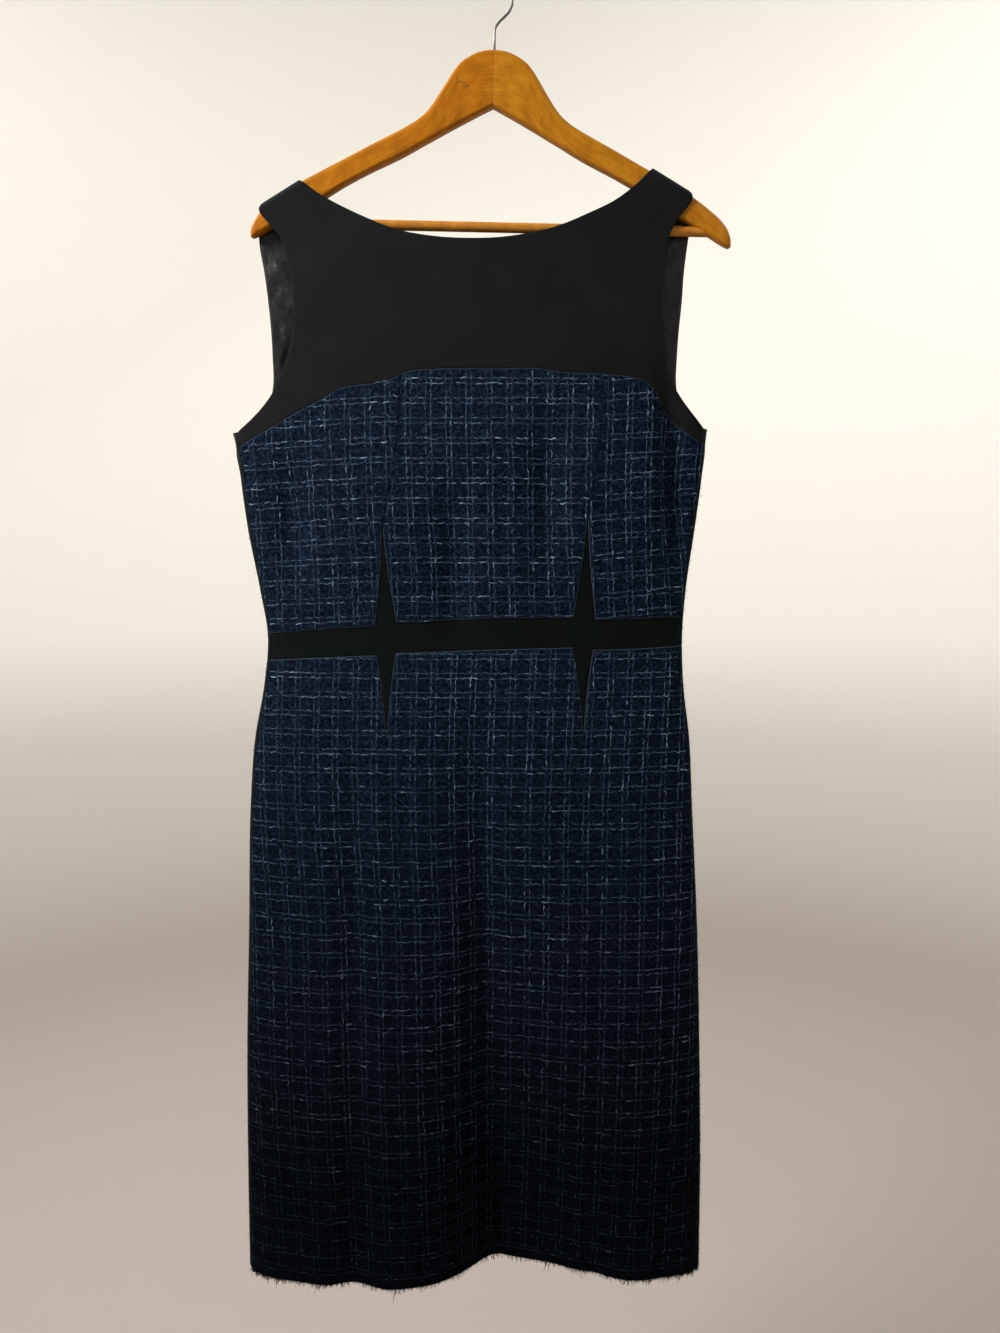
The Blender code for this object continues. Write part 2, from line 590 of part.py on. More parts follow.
def make_bodice_front(seam, band):
    inner = {side: princess_seam(side, 1 if side == "left" else 0) for side in ("left", "right")}
    outer = {side: princess_seam(side, 0 if side == "left" else 1) for side in ("left", "right")}
    for side in ("left", "right"):
        end = 0 if side == "left" else -1
        heights = np.linspace(seam[side][end, 1], band[side][end, 1], len(inner[side]))
        edge = side_seam(side, heights)
        sides = (edge, outer[side]) if side == "left" else (outer[side], edge)
        panel(f"bodice_front_side_{side}", [patch(seam[side], band[side], *sides)], "tweed")
    middle = patch(seam["middle"], band["middle"], inner["left"], inner["right"])
    panel("bodice_front_centre", [middle], "tweed")


def make_waistband_front(top, bottom):
    patches = []
    lines = []
    for band in (top, bottom):
        line = band["left"]
        for gap_from, gap_to in (("left", "middle"), ("middle", "right")):
            base = np.linspace(band[gap_from][-1], band[gap_to][0], COLS_POINT + 1)
            line = joined(line, base, band[gap_to])
        lines.append(line)
    heights = [np.linspace(a, b, ROWS_BAND + 1) for a, b in zip(lines[0], lines[1])]
    patches.append(np.stack(heights, axis=1))
    for up in (True, False):
        for side in ("left", "right"):
            left, right = point_edges(side, up)
            grid = np.stack([np.linspace(a, b, COLS_POINT + 1) for a, b in zip(left[:-1], right[:-1])])
            patches.append(grid[::-1] if up else grid)
    panel("waistband_front", patches, "crepe")


def make_skirt_front(band):
    """One piece from side to side, with a notch for each lower point of the waistband."""
    row = {side: LOWER_APEX[side][1] for side in ("left", "right")}
    apexes = [to_turn([LOWER_APEX[side]])[0] for side in ("left", "right")]
    sides = [side_seam(side, [row[side]])[0] for side in ("left", "right")]
    waist = {
        "left": np.linspace(sides[0], apexes[0], COLS_SIDE + 1),
        "middle": np.linspace(apexes[0], apexes[1], COLS_MIDDLE + 1),
        "right": np.linspace(apexes[1], sides[1], COLS_SIDE + 1),
    }
    notches = {side: point_edges(side, False) for side in ("left", "right")}
    edges = {}
    for side, end in (("left", 0), ("right", -1)):
        heights = np.linspace(band[side][end, 1], row[side], len(notches[side][0]))
        edges[side] = side_seam(side, heights)
    patches = [
        patch(band["left"], waist["left"], edges["left"], notches["left"][0]),
        patch(band["middle"], waist["middle"], notches["left"][1], notches["right"][0]),
        patch(band["right"], waist["right"], notches["right"][1], edges["right"]),
    ]
    line = joined(waist["left"], waist["middle"], waist["right"])
    hem_ends = [side_seam(side, [HEM_Z])[0] for side in ("left", "right")]
    hem = np.linspace(hem_ends[0], hem_ends[1], len(line))
    long_sides = [
        side_seam(side, np.linspace(row[side], HEM_Z, ROWS_SKIRT + 1)) for side in ("left", "right")
    ]
    patches.append(patch(line, hem, *long_sides))
    panel("skirt_front", patches, "tweed")


# ---------------------------------------------------------------- the back
def back_waist(side, count):
    """The back waist seam from the middle of the back to the side seam, in (turn, z)."""
    at_side, at_middle = WAIST_BACK[side]
    end = side_seam(side, [at_side])[0]
    start = np.array([-2.0 if side == "left" else 2.0, at_middle])
    return np.linspace(start, end, count + 1)


def make_back_bodice(side):
    """Half of the back from the neck to the waist. Its side strip comes round to the front."""
    armhole = BACK_ARMHOLE_LEFT if side == "left" else BACK_ARMHOLE_RIGHT
    shoulder = SHOULDER_LEFT[::-1] if side == "left" else SHOULDER_RIGHT
    if side == "left":
        half = [spot for spot in NECKLINE_BACK if spot[0] <= BACK_MIDDLE_X][::-1]
    else:
        half = [spot for spot in NECKLINE_BACK if spot[0] >= BACK_MIDDLE_X]
    steps = strap_shares(half)
    shares = np.concatenate([np.linspace(0, 1 - steps[-1], BACK_COLS_NECK + 1), 1 - steps[-2::-1], [1]])
    top = joined(sample(half, shares), sample(shoulder, even(STRAP_COLS)))
    start = np.array([-2.0 if side == "left" else 2.0, top[0, 1]])
    steps = strap_shares(armhole)
    shares = np.concatenate([[0], steps, np.linspace(steps[-1], 1, ROWS_BACK_ARMHOLE + 1)[1:]])
    cut = to_turn(sample(armhole, shares), behind=True)
    waist = back_waist(side, len(top) - 1)
    heights = np.linspace(UNDERARM_Z[side], WAIST_BACK[side][0], ROWS_BACK_SIDE + 1)
    seam = side_seam(side, heights)
    outer = joined(cut, np.linspace(cut[-1], seam[0], ROWS_BACK_UNDERARM + 1), seam)
    middle = start + (waist[0] - start) * shares_along(outer)[:, None]
    if side == "left":
        grid = patch_with_border(top, waist, middle, outer, behind=True)
    else:
        grid = patch_with_border(top[::-1], waist[::-1], outer, middle, behind=True)
    grid = grid if side == "left" else grid[:, ::-1]
    lining_edge = grid[:, -2] + (grid[:, -1] - grid[:, -2]) * LINING_REACH
    lining_edge[0] = to_turn(top[-2:-1] + (top[-1:] - top[-2:-1]) * LINING_REACH, behind=True)[0]
    grid = np.insert(grid, -1, lining_edge, axis=1)
    panel(f"bodice_back_{side}", [grid if side == "left" else grid[:, ::-1]], "crepe")
    return grid


def make_back_lining(side, bodice):
    """Satin inside half of the back bodice, from under the hanger's bar to the waist seam."""
    grid = bodice[LINING_TOP_ROW:, :-1]
    grid = grid if side == "left" else grid[:, ::-1]
    panel(f"back_lining_{side}", [grid], "satin", wall=LINING, sunk=CLOTH + LINING_EASE)


def make_back_skirt(side):
    waist = back_waist(side, BACK_COLS_SKIRT)
    hem = np.linspace((waist[0, 0], HEM_Z), side_seam(side, [HEM_Z])[0], BACK_COLS_SKIRT + 1)
    outer = side_seam(side, np.linspace(waist[-1, 1], HEM_Z, ROWS_BACK_SKIRT + 1))
    middle = np.linspace(waist[0], hem[0], ROWS_BACK_SKIRT + 1)
    if side == "left":
        grid = patch(waist, hem, middle, outer)
    else:
        grid = patch(waist[::-1], hem[::-1], outer, middle)
    panel(f"skirt_back_{side}", [grid], "crepe")


# ---------------------------------------------------------------- the hanger
def arm_section(top, bottom, slope):
    """Points round one upright slice of an arm, as (y, z), clockwise seen from its tip."""
    tall = top - bottom
    stretch = math.sqrt(1 + slope**2)  # an upright slice through a sloping arm is taller
    upper = min(ARM_ROUND, tall * 0.45 / stretch)
    lower = min(ARM_LOWER_ROUND, tall * 0.35 / stretch)
    half = ARM_HALF_THICKNESS
    corners = (
        (half - ARM_ROUND, top, ARM_ROUND, upper * stretch, 90, 0, 4),
        (half - lower, bottom, lower, -lower * stretch, 0, 90, 2),
    )
    right = []
    for y, z, wide, tall_round, start, end, steps in corners:
        for angle in np.radians(np.linspace(start, end, steps + 1)):
            right.append((y + wide * math.cos(angle), z - tall_round + tall_round * math.sin(angle)))
    return right + [(-y, z) for y, z in reversed(right)]


def make_hanger_arm(side):
    sign = -1 if side == "left" else 1
    x, top, bottom = (column(ARM_STATIONS, ARM_COLUMNS, name) for name in ARM_COLUMNS)
    slopes = np.clip(np.gradient(top, x), -1.2, 0)
    mesh = bpy.data.meshes.new(f"hanger_arm_{side}")
    work = bmesh.new()
    rings = []
    for i in range(len(x)):
        section = arm_section(top[i], bottom[i], slopes[i])
        rings.append([work.verts.new((sign * x[i], y, z)) for y, z in section])
    for one, two in zip(rings, rings[1:]):
        for i in range(len(one)):
            j = (i + 1) % len(one)
            work.faces.new((one[i], one[j], two[j], two[i]))
    work.faces.new(rings[0])
    work.faces.new(rings[-1])
    bmesh.ops.recalc_face_normals(work, faces=work.faces)
    work.to_mesh(mesh)
    work.free()
    arm = add_object(f"hanger_arm_{side}", mesh, "varnished_wood")
    bar_hole = cylinder_between(
        f"{side}_bar_hole", (sign * BAR_HOLE_START, 0, BAR_Z),
        (sign * (BAR_HALF_LENGTH + FIT_GAP), 0, BAR_Z),
        BAR_RADIUS + FIT_GAP, 16,
    )
    shank_hole = cylinder_between(
        f"{side}_shank_hole", (0, 0, SHANK_HOLE_END), (0, 0, SHANK_HOLE_TOP), WIRE_RADIUS + FIT_GAP, 12
    )
    for cutter in (bar_hole, shank_hole):
        cut = arm.modifiers.new(cutter.name, "BOOLEAN")
        cut.operation = "DIFFERENCE"
        cut.object = cutter
        cutter.hide_render = True
        cutter.display_type = "WIRE"
        cutter.parent = hanger_tilt()
    arm.parent = hanger_tilt()
    smooth(mesh, FINISH_ANGLE_WOOD)


def hanger_tilt():
    """The empty that tilts the hanger about the hook's top."""
    name = "hanger_tilt"
    if name not in bpy.data.objects:
        empty = bpy.data.objects.new(name, None)
        empty.rotation_euler = (0, HANGER_TILT, 0)
        bpy.context.scene.collection.objects.link(empty)
    return bpy.data.objects[name]


def cylinder_between(name, start, end, radius, sides):
    start, end = Vector(start), Vector(end)
    mesh = bpy.data.meshes.new(name)
    work = bmesh.new()
    turn = (end - start).to_track_quat("Z", "Y").to_matrix().to_4x4()
    place = Matrix.Translation((start + end) / 2) @ turn
    bmesh.ops.create_cone(
        work, cap_ends=True, segments=sides, radius1=radius, radius2=radius,
        depth=(end - start).length, matrix=place,
    )
    work.to_mesh(mesh)
    work.free()
    obj = bpy.data.objects.new(name, mesh)
    bpy.context.scene.collection.objects.link(obj)
    return obj


def make_hanger_bar():
    bar = cylinder_between(
        "hanger_bar", (-BAR_HALF_LENGTH, 0, BAR_Z), (BAR_HALF_LENGTH, 0, BAR_Z), BAR_RADIUS, 16
    )
    bar.data.materials.append(material_for("hanger_bar", "varnished_wood"))
    smooth(bar.data, FINISH_ANGLE_WOOD)
    bar.parent = hanger_tilt()


def make_hanger_hook():
    """Steel wire: a shank in the wood, a bend to the right, then the arc over the top."""
    middle = -HOOK_INSIDE_RADIUS
    radius = HOOK_INSIDE_RADIUS + WIRE_RADIUS
    route = [HOOK_SHANK[0], *rounded(HOOK_SHANK[1:], 3)]
    for angle in np.arange(0, HOOK_SWEEP, HOOK_STEP):
        route.append((radius * math.cos(angle), middle + radius * math.sin(angle)))
    curve = bpy.data.curves.new("hanger_hook", "CURVE")
    curve.dimensions = "3D"
    curve.bevel_depth = WIRE_RADIUS
    curve.bevel_resolution = 2
    curve.use_fill_caps = True
    wire = curve.splines.new("POLY")
    wire.points.add(len(route) - 1)
    for point, (x, z) in zip(wire.points, route):
        point.co = (x, 0, z, 1)
    hook = bpy.data.objects.new("hanger_hook", curve)
    bpy.context.scene.collection.objects.link(hook)
    curve.materials.append(material_for("hanger_hook", "steel"))
    hook.parent = hanger_tilt()


# ---------------------------------------------------------------- the zip's slider and pull
def slider_face_y():
    """Where the slider's outer face stands, behind the back seam."""
    return float(cloth_point(2.0, SLIDER_Z)[1]) + SEAM_GAP + SLIDER_SIZE.y


def make_zip_slider():
    """A small block on the back seam, with a bridge across it that the pull hangs on."""
    face = slider_face_y()
    work = bmesh.new()
    bmesh.ops.create_cube(
        work, size=1,
        matrix=Matrix.Translation((BACK_MIDDLE_X, face - SLIDER_SIZE.y / 2, SLIDER_Z))
        @ Matrix.Diagonal((*SLIDER_SIZE, 1)),
    )
    bmesh.ops.bevel(work, geom=work.edges[:], offset=SLIDER_BEVEL, segments=1, affect="EDGES")
    mesh = bpy.data.meshes.new("zip_slider")
    work.to_mesh(mesh)
    work.free()
    slider = add_object("zip_slider", mesh, "steel")
    half = PULL_EYE_HALF_WIDTH + FIT_GAP
    axis_y = face + BRIDGE_RISE
    bridge = cylinder_between(
        "slider_bridge", (BACK_MIDDLE_X - half - BRIDGE_RADIUS, axis_y, BRIDGE_Z),
        (BACK_MIDDLE_X + half + BRIDGE_RADIUS, axis_y, BRIDGE_Z), BRIDGE_RADIUS, 12,
    )
    helpers = [bridge]
    for sign in (-1, 1):
        post = bpy.data.objects.new(f"slider_post_{sign}", box_mesh(
            (BACK_MIDDLE_X + sign * (half + POST_SIZE[0] / 2), face + BRIDGE_RISE / 2 - POST_SINK, BRIDGE_Z),
            POST_SIZE,
        ))
        bpy.context.scene.collection.objects.link(post)
        helpers.append(post)
    for helper in helpers:
        add = slider.modifiers.new(helper.name, "BOOLEAN")
        add.operation = "UNION"
        add.object = helper
        helper.hide_render = True
        helper.display_type = "WIRE"


def box_mesh(middle, size):
    mesh = bpy.data.meshes.new("box")
    work = bmesh.new()
    bmesh.ops.create_cube(work, size=1, matrix=Matrix.Translation(middle) @ Matrix.Diagonal((*size, 1)))
    work.to_mesh(mesh)
    work.free()
    return mesh


def make_zip_pull():
    """A drop-shaped tab. Its eye turns on the slider's bridge, and its origin is on that axis."""
    work = bmesh.new()
    drop = []
    for angle in np.linspace(0, 2 * math.pi, PULL_SIDES, endpoint=False) + math.pi / 2:
        # Wide and round below, drawn in to a neck at the top.
        z = PULL_LENGTH * ((1 - PULL_MIDDLE) * math.sin(angle) - PULL_MIDDLE)
        low = (1 - math.sin(angle)) / 2
        width = PULL_NARROWING + (1 - PULL_NARROWING) * low**0.7
        drop.append((PULL_HALF_WIDTH * width * math.cos(angle), z))
    ends = [
        [work.verts.new((x, y, z)) for x, z in drop] for y in (-PULL_HALF_THICKNESS, PULL_HALF_THICKNESS)
    ]
    work.faces.new(ends[0][::-1])
    work.faces.new(ends[1])
    for i in range(len(drop)):
        j = (i + 1) % len(drop)
        work.faces.new((ends[0][i], ends[0][j], ends[1][j], ends[1][i]))
    bmesh.ops.recalc_face_normals(work, faces=work.faces)
    mesh = bpy.data.meshes.new("zip_pull_tab")
    work.to_mesh(mesh)
    work.free()
    pull = add_object("zip_pull_tab", mesh, "steel")
    half = PULL_EYE_HALF_WIDTH
    eye = cylinder_between("pull_eye", (-half, 0, 0), (half, 0, 0), PULL_EYE_RADIUS, 16)
    neck = bpy.data.objects.new("pull_neck", box_mesh((0, 0, PULL_NECK_Z), PULL_NECK_SIZE))
    bpy.context.scene.collection.objects.link(neck)
    hole = cylinder_between(
        "pull_hole", (-PULL_HOLE_HALF_LENGTH, 0, 0), (PULL_HOLE_HALF_LENGTH, 0, 0), PULL_HOLE_RADIUS, 16
    )
    for helper, operation in ((neck, "UNION"), (eye, "UNION"), (hole, "DIFFERENCE")):
        change = pull.modifiers.new(helper.name, "BOOLEAN")
        change.operation = operation
        change.object = helper
        helper.hide_render = True
        helper.display_type = "WIRE"
        helper.parent = pull
    pull.location = (BACK_MIDDLE_X, slider_face_y() + BRIDGE_RISE, BRIDGE_Z)


def main():
    for obj in list(bpy.data.objects):
        bpy.data.objects.remove(obj)
    yoke_seam = front_seams(YOKE_SEAM)
    band_top, band_bottom = front_seams(BAND_TOP), front_seams(BAND_BOTTOM)
    make_front_yoke(yoke_seam)
    make_bodice_front(yoke_seam, band_top)
    make_waistband_front(band_top, band_bottom)
    make_skirt_front(band_bottom)
    for side in ("left", "right"):
        make_back_lining(side, make_back_bodice(side))
        make_back_skirt(side)
        make_hanger_arm(side)
    make_hanger_bar()
    make_hanger_hook()
    make_zip_slider()
    make_zip_pull()


main()
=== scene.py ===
"""The looks of a tweed pencil dress on a wooden hanger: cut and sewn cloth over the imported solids.

Sizes are metres in the part's own frame: the front faces -Y, +X is to the right, +Z up, and the
origin is the inside of the hook's top. A point of the cloth is (turn, z): turn 0 is the middle of
the front, -1 and 1 are the sides and -2 and 2 the middle of the back.
"""

import math

import bpy
import numpy as np
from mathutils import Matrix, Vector
from mathutils.kdtree import KDTree


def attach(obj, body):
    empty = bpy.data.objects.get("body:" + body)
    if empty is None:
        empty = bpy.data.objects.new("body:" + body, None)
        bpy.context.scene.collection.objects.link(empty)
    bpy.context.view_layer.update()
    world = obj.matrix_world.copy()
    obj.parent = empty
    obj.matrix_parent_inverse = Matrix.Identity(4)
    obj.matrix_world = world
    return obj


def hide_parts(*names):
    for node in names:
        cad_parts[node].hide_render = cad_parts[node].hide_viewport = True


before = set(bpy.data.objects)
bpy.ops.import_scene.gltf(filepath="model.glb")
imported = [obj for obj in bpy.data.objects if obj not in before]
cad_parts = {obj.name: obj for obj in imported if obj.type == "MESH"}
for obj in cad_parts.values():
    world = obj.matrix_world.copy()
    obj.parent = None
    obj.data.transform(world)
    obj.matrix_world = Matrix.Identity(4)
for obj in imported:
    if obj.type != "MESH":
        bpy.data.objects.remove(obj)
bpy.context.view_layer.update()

DRESS = "dress_and_hanger"

# ---------------------------------------------------------------- sizes, as the solids have them
CLOTH = 0.0018  # thickness of a wall, face to face
LINING = 0.0010
SEAM_GAP = 0.0003
HEM_Z = -1.2375
ROUNDNESS = 0.8  # of the cloth's section: 1 is an oval, less is boxier
TURN_LENGTH = 0.30  # metres that one turn counts as, to weigh it against heights
RING_COLUMNS = ("z", "left", "right", "front_depth", "back_depth")
RINGS = (
    (-0.150, -0.2475, 0.1985, 0.0130, 0.0130),
    (-0.230, -0.2475, 0.1985, 0.0145, 0.0135),
    (-0.300, -0.2475, 0.1985, 0.0200, 0.0155),
    (-0.360, -0.2475, 0.1985, 0.0265, 0.0180),
    (-0.405, -0.2470, 0.1980, 0.0310, 0.0200),
    (-0.437, -0.2420, 0.1948, 0.0330, 0.0210),
    (-0.493, -0.2352, 0.1882, 0.0320, 0.0210),
    (-0.550, -0.2252, 0.1810, 0.0285, 0.0195),
    (-0.595, -0.2190, 0.1785, 0.0260, 0.0185),
    (-0.637, -0.2230, 0.1802, 0.0275, 0.0190),
    (-0.696, -0.2342, 0.1875, 0.0310, 0.0210),
    (-0.755, -0.2395, 0.1910, 0.0340, 0.0230),
    (-0.877, -0.2444, 0.1985, 0.0380, 0.0250),
    (-1.001, -0.2495, 0.2035, 0.0420, 0.0265),
    (-1.130, -0.2520, 0.2070, 0.0460, 0.0280),
    (-1.238, -0.2530, 0.2078, 0.0490, 0.0290),
)

# Soft troughs in the cloth. A trough runs from x_top at z_top to x_end at z_end, with its own
# width to either side. One that grows is deepest at its lower end, the others in their middle.
FOLD_COLUMNS = ("x_top", "z_top", "x_end", "z_end", "width_left", "width_right", "depth", "grows")
FRONT_FOLDS = (
    (-0.012, -0.650, 0.010, HEM_Z, 0.042, 0.062, 0.0510, True),
    (-0.132, -0.700, -0.140, HEM_Z, 0.016, 0.018, 0.0065, True),
    (0.104, -0.990, 0.104, HEM_Z, 0.012, 0.014, 0.0030, True),
    (0.151, -0.300, 0.168, -0.570, 0.006, 0.014, 0.0070, False),
    (0.042, -0.365, 0.043, -0.520, 0.016, 0.018, 0.0032, False),
    (-0.040, -0.420, -0.042, -0.590, 0.015, 0.015, 0.0030, False),
    (-0.196, -0.400, -0.200, -0.560, 0.012, 0.014, 0.0034, False),
)
BACK_FOLDS = (
    (-0.120, -0.700, -0.118, HEM_Z, 0.026, 0.030, 0.0085, True),
    (0.085, -0.760, 0.092, HEM_Z, 0.026, 0.024, 0.0070, True),
    (-0.150, -0.380, -0.140, -0.590, 0.016, 0.018, 0.0035, False),
    (0.105, -0.390, 0.098, -0.600, 0.015, 0.016, 0.0030, False),
)

# Seams and edges on the front, as (x, z) from left to right or from the top down.
SHOULDER_LEFT = ((-0.2210, -0.2009), (-0.1800, -0.1766))
SHOULDER_RIGHT = ((0.1435, -0.1664), (0.1840, -0.1902))
NECKLINE_FRONT = (
    SHOULDER_LEFT[1], (-0.159, -0.1915), (-0.1368, -0.2035), (-0.1143, -0.2140), (-0.0917, -0.2227),
    (-0.060, -0.2288), (-0.0236, -0.2310), (0.0037, -0.2301), (0.031, -0.2262), (0.0582, -0.2192),
    (0.0853, -0.2079), (0.1079, -0.1966), (0.1258, -0.1836), SHOULDER_RIGHT[0],
)
ARMHOLE_LEFT = (
    SHOULDER_LEFT[0], (-0.2071, -0.2170), (-0.1960, -0.2307), (-0.1909, -0.2473), (-0.1873, -0.2623),
    (-0.1854, -0.2806), (-0.1851, -0.2989), (-0.1862, -0.3171), (-0.1889, -0.3309),
    (-0.1941, -0.3448), (-0.2048, -0.3681), (-0.2140, -0.3804), (-0.2269, -0.3930),
    (-0.2430, -0.4050),
)
ARMHOLE_RIGHT = (
    SHOULDER_RIGHT[1], (0.1708, -0.2067), (0.1635, -0.2161), (0.1588, -0.2270), (0.1559, -0.2410),
    (0.1537, -0.2565), (0.1529, -0.2724), (0.1527, -0.2881), (0.1535, -0.3039), (0.1549, -0.3198),
    (0.1569, -0.3405), (0.1603, -0.3565), (0.1647, -0.3630), (0.1732, -0.3757), (0.1945, -0.4010),
)
YOKE_SEAM_LEFT = (
    (-0.2375, -0.4165), (-0.2230, -0.4085), (-0.2080, -0.4013), (-0.1956, -0.3942),
    (-0.1791, -0.3854), (-0.1645, -0.3783), (-0.1531, -0.3720), (-0.1464, -0.3675),
    (-0.1334, -0.3641), (-0.1124, -0.3616), (-0.0995, -0.3594), (-0.0864, -0.3530),
)
YOKE_SEAM_MIDDLE = (
    YOKE_SEAM_LEFT[-1], (-0.0783, -0.3507), (-0.0557, -0.3490), (-0.0234, -0.3486),
    (0.0024, -0.3488), (0.0202, -0.3480), (0.0433, -0.3490), (0.0577, -0.3512), (0.0960, -0.3528),
)
YOKE_SEAM_RIGHT = (
    YOKE_SEAM_MIDDLE[-1], (0.1240, -0.3552), (0.1350, -0.3583), (0.1440, -0.3645),
    (0.1520, -0.3765), (0.1600, -0.3900), (0.1700, -0.3995), (0.1800, -0.4065), (0.1915, -0.4135),
)
YOKE_SEAM = {"left": YOKE_SEAM_LEFT, "middle": YOKE_SEAM_MIDDLE, "right": YOKE_SEAM_RIGHT}
UPPER_APEX = {"left": (-0.1045, -0.4900), "right": (0.0845, -0.4815)}
LOWER_APEX = {"left": (-0.1033, -0.6915), "right": (0.0826, -0.6860)}
PRINCESS_BEND = {"left": (-0.0915, -0.4250), "right": (0.0965, -0.4110)}
BAND_TOP = {  # the stretches of tweed above the waistband, side to point and point to point
    "left": ((-0.2165, -0.5915), (-0.1833, -0.5886), (-0.1459, -0.5858), (-0.1131, -0.5838)),
    "middle": ((-0.0930, -0.5802), (-0.0523, -0.5784), (-0.0150, -0.5766), (0.0728, -0.5757)),
    "right": ((0.0932, -0.5776), (0.1344, -0.5767), (0.1765, -0.5757)),
}
BAND_BOTTOM = {
    "left": ((-0.2165, -0.6165), (-0.1839, -0.6142), (-0.1463, -0.6123), (-0.1116, -0.6107)),
    "middle": ((-0.0945, -0.6086), (-0.0525, -0.6072), (-0.0150, -0.6056), (0.0721, -0.6034)),
    "right": ((0.0910, -0.6056), (0.1349, -0.6048), (0.1770, -0.6028)),
}
POINT_BEND = 0.0012  # how far a point's long sides curve in towards its middle
POINT_END = 0.96  # share of the way to the notch's apex where a point's blunt tip ends

# The side seams sit in front of the widest line, so that a strip of the back shows.
SIDE_SEAM_COLUMNS = ("z", "left_inset", "right_inset")
SIDE_SEAMS = (
    (-0.400, 0.0050, 0.0032),
    (-0.420, 0.0062, 0.0030),
    (-0.460, 0.0042, 0.0028),
    (-0.595, 0.0036, 0.0025),
    (-0.700, 0.0036, 0.0010),
    (-1.240, 0.0036, 0.0004),
)

# Edges of the back, which the front hides: plain, and a little less deep at the neck.
NECKLINE_BACK = (
    SHOULDER_LEFT[1], (-0.158, -0.1905), (-0.1350, -0.2020), (-0.0900, -0.2190), (-0.0245, -0.2275),
    (0.0430, -0.2190), (0.0860, -0.2040), (0.1250, -0.1815), SHOULDER_RIGHT[0],
)
BACK_ARMHOLE_LEFT = (
    SHOULDER_LEFT[0], (-0.2203, -0.2200), (-0.2195, -0.2330), (-0.2162, -0.2533),
    (-0.2136, -0.2767), (-0.2117, -0.3002), (-0.2106, -0.3317), (-0.2112, -0.3600),
    (-0.2190, -0.3860), (-0.2330, -0.4000),
)
BACK_ARMHOLE_RIGHT = (
    SHOULDER_RIGHT[1], (0.1812, -0.2070), (0.1789, -0.2225), (0.1771, -0.2361), (0.1749, -0.2569),
    (0.1737, -0.2813), (0.1717, -0.3057), (0.1704, -0.3302), (0.1705, -0.3600), (0.1770, -0.3850),
    (0.1890, -0.3970),
)
BACK_MIDDLE_X = -0.0245
UNDERARM_Z = {"left": ARMHOLE_LEFT[-1][1], "right": ARMHOLE_RIGHT[-1][1]}
WAIST_BACK = {"left": (-0.6165, -0.6080), "right": (-0.6028, -0.6080)}  # z at the side, at the middle
LINING_EASE = 0.0010  # between the crepe and the lining
LINING_REACH = 0.4  # share of the bodice's last column, so that its edge shows past the lining
LINING_TOP_ROW = 9  # the bodice's row where the lining starts, under the hanger's bar

# Creases too small for the solids, in the same columns. They bend the cloth of every piece alike.
FRONT_CREASES = (
    (-0.232, -0.425, -0.150, -0.470, 0.010, 0.010, 0.0026, False),
    (-0.215, -0.455, -0.150, -0.520, 0.009, 0.011, 0.0020, False),
    (-0.038, -0.430, -0.036, -0.640, 0.012, 0.009, 0.0068, False),
    (0.047, -0.350, 0.050, -0.580, 0.011, 0.010, 0.0068, False),
    (0.156, -0.325, 0.166, -0.590, 0.007, 0.010, 0.0064, False),
    (-0.188, -0.400, -0.190, -0.585, 0.010, 0.011, 0.0055, False),
    (-0.140, -0.400, -0.134, -0.520, 0.014, 0.012, 0.0010, False),
    (0.010, -0.400, 0.004, -0.560, 0.018, 0.016, 0.0010, False),
    (0.118, -0.380, 0.112, -0.500, 0.011, 0.013, 0.0014, False),
    (0.062, -0.520, 0.060, -0.620, 0.014, 0.012, 0.0010, False),
    (-0.020, -0.610, -0.004, HEM_Z, 0.013, 0.011, 0.0066, True),
    (-0.138, -0.640, -0.142, HEM_Z, 0.014, 0.014, 0.0042, True),
    (0.098, -0.900, 0.096, HEM_Z, 0.010, 0.009, 0.0026, True),
    (-0.017, -0.560, -0.011, -1.100, 0.013, 0.011, 0.0065, False),
    (-0.132, -0.600, -0.138, -1.080, 0.013, 0.012, 0.0045, False),
    (0.104, -0.680, 0.100, -1.120, 0.012, 0.014, 0.0035, False),
    (-0.045, -0.600, -0.040, -0.900, 0.014, 0.016, 0.0040, False),
    (-0.088, -0.640, -0.092, -0.880, 0.016, 0.014, 0.0026, False),
    (0.070, -0.680, 0.066, -0.900, 0.016, 0.018, 0.0026, False),
    (0.150, -0.640, 0.152, -0.860, 0.014, 0.012, 0.0012, False),
    (-0.205, -0.700, -0.212, -1.000, 0.014, 0.012, 0.0013, False),
    (-0.190, -0.960, -0.196, HEM_Z, 0.014, 0.015, 0.0026, True),
    (0.060, -1.000, 0.066, HEM_Z, 0.012, 0.013, 0.0022, True),
    (0.166, -0.900, 0.170, HEM_Z, 0.015, 0.013, 0.0026, True),
    (-0.075, -0.980, -0.082, HEM_Z, 0.016, 0.015, 0.0020, True),
)
BACK_CREASES = (
    (-0.190, -0.420, -0.130, -0.480, 0.012, 0.012, 0.0018, False),
    (0.160, -0.420, 0.110, -0.470, 0.011, 0.012, 0.0016, False),
    (-0.060, -0.450, -0.052, -0.620, 0.016, 0.014, 0.0013, False),
    (0.020, -0.470, 0.012, -0.610, 0.014, 0.016, 0.0014, False),
    (-0.070, -0.880, -0.074, HEM_Z, 0.018, 0.016, 0.0028, True),
    (0.030, -0.960, 0.032, HEM_Z, 0.016, 0.018, 0.0024, True),
    (-0.180, -0.900, -0.184, HEM_Z, 0.014, 0.015, 0.0026, True),
    (0.140, -0.940, 0.144, HEM_Z, 0.013, 0.014, 0.0024, True),
)

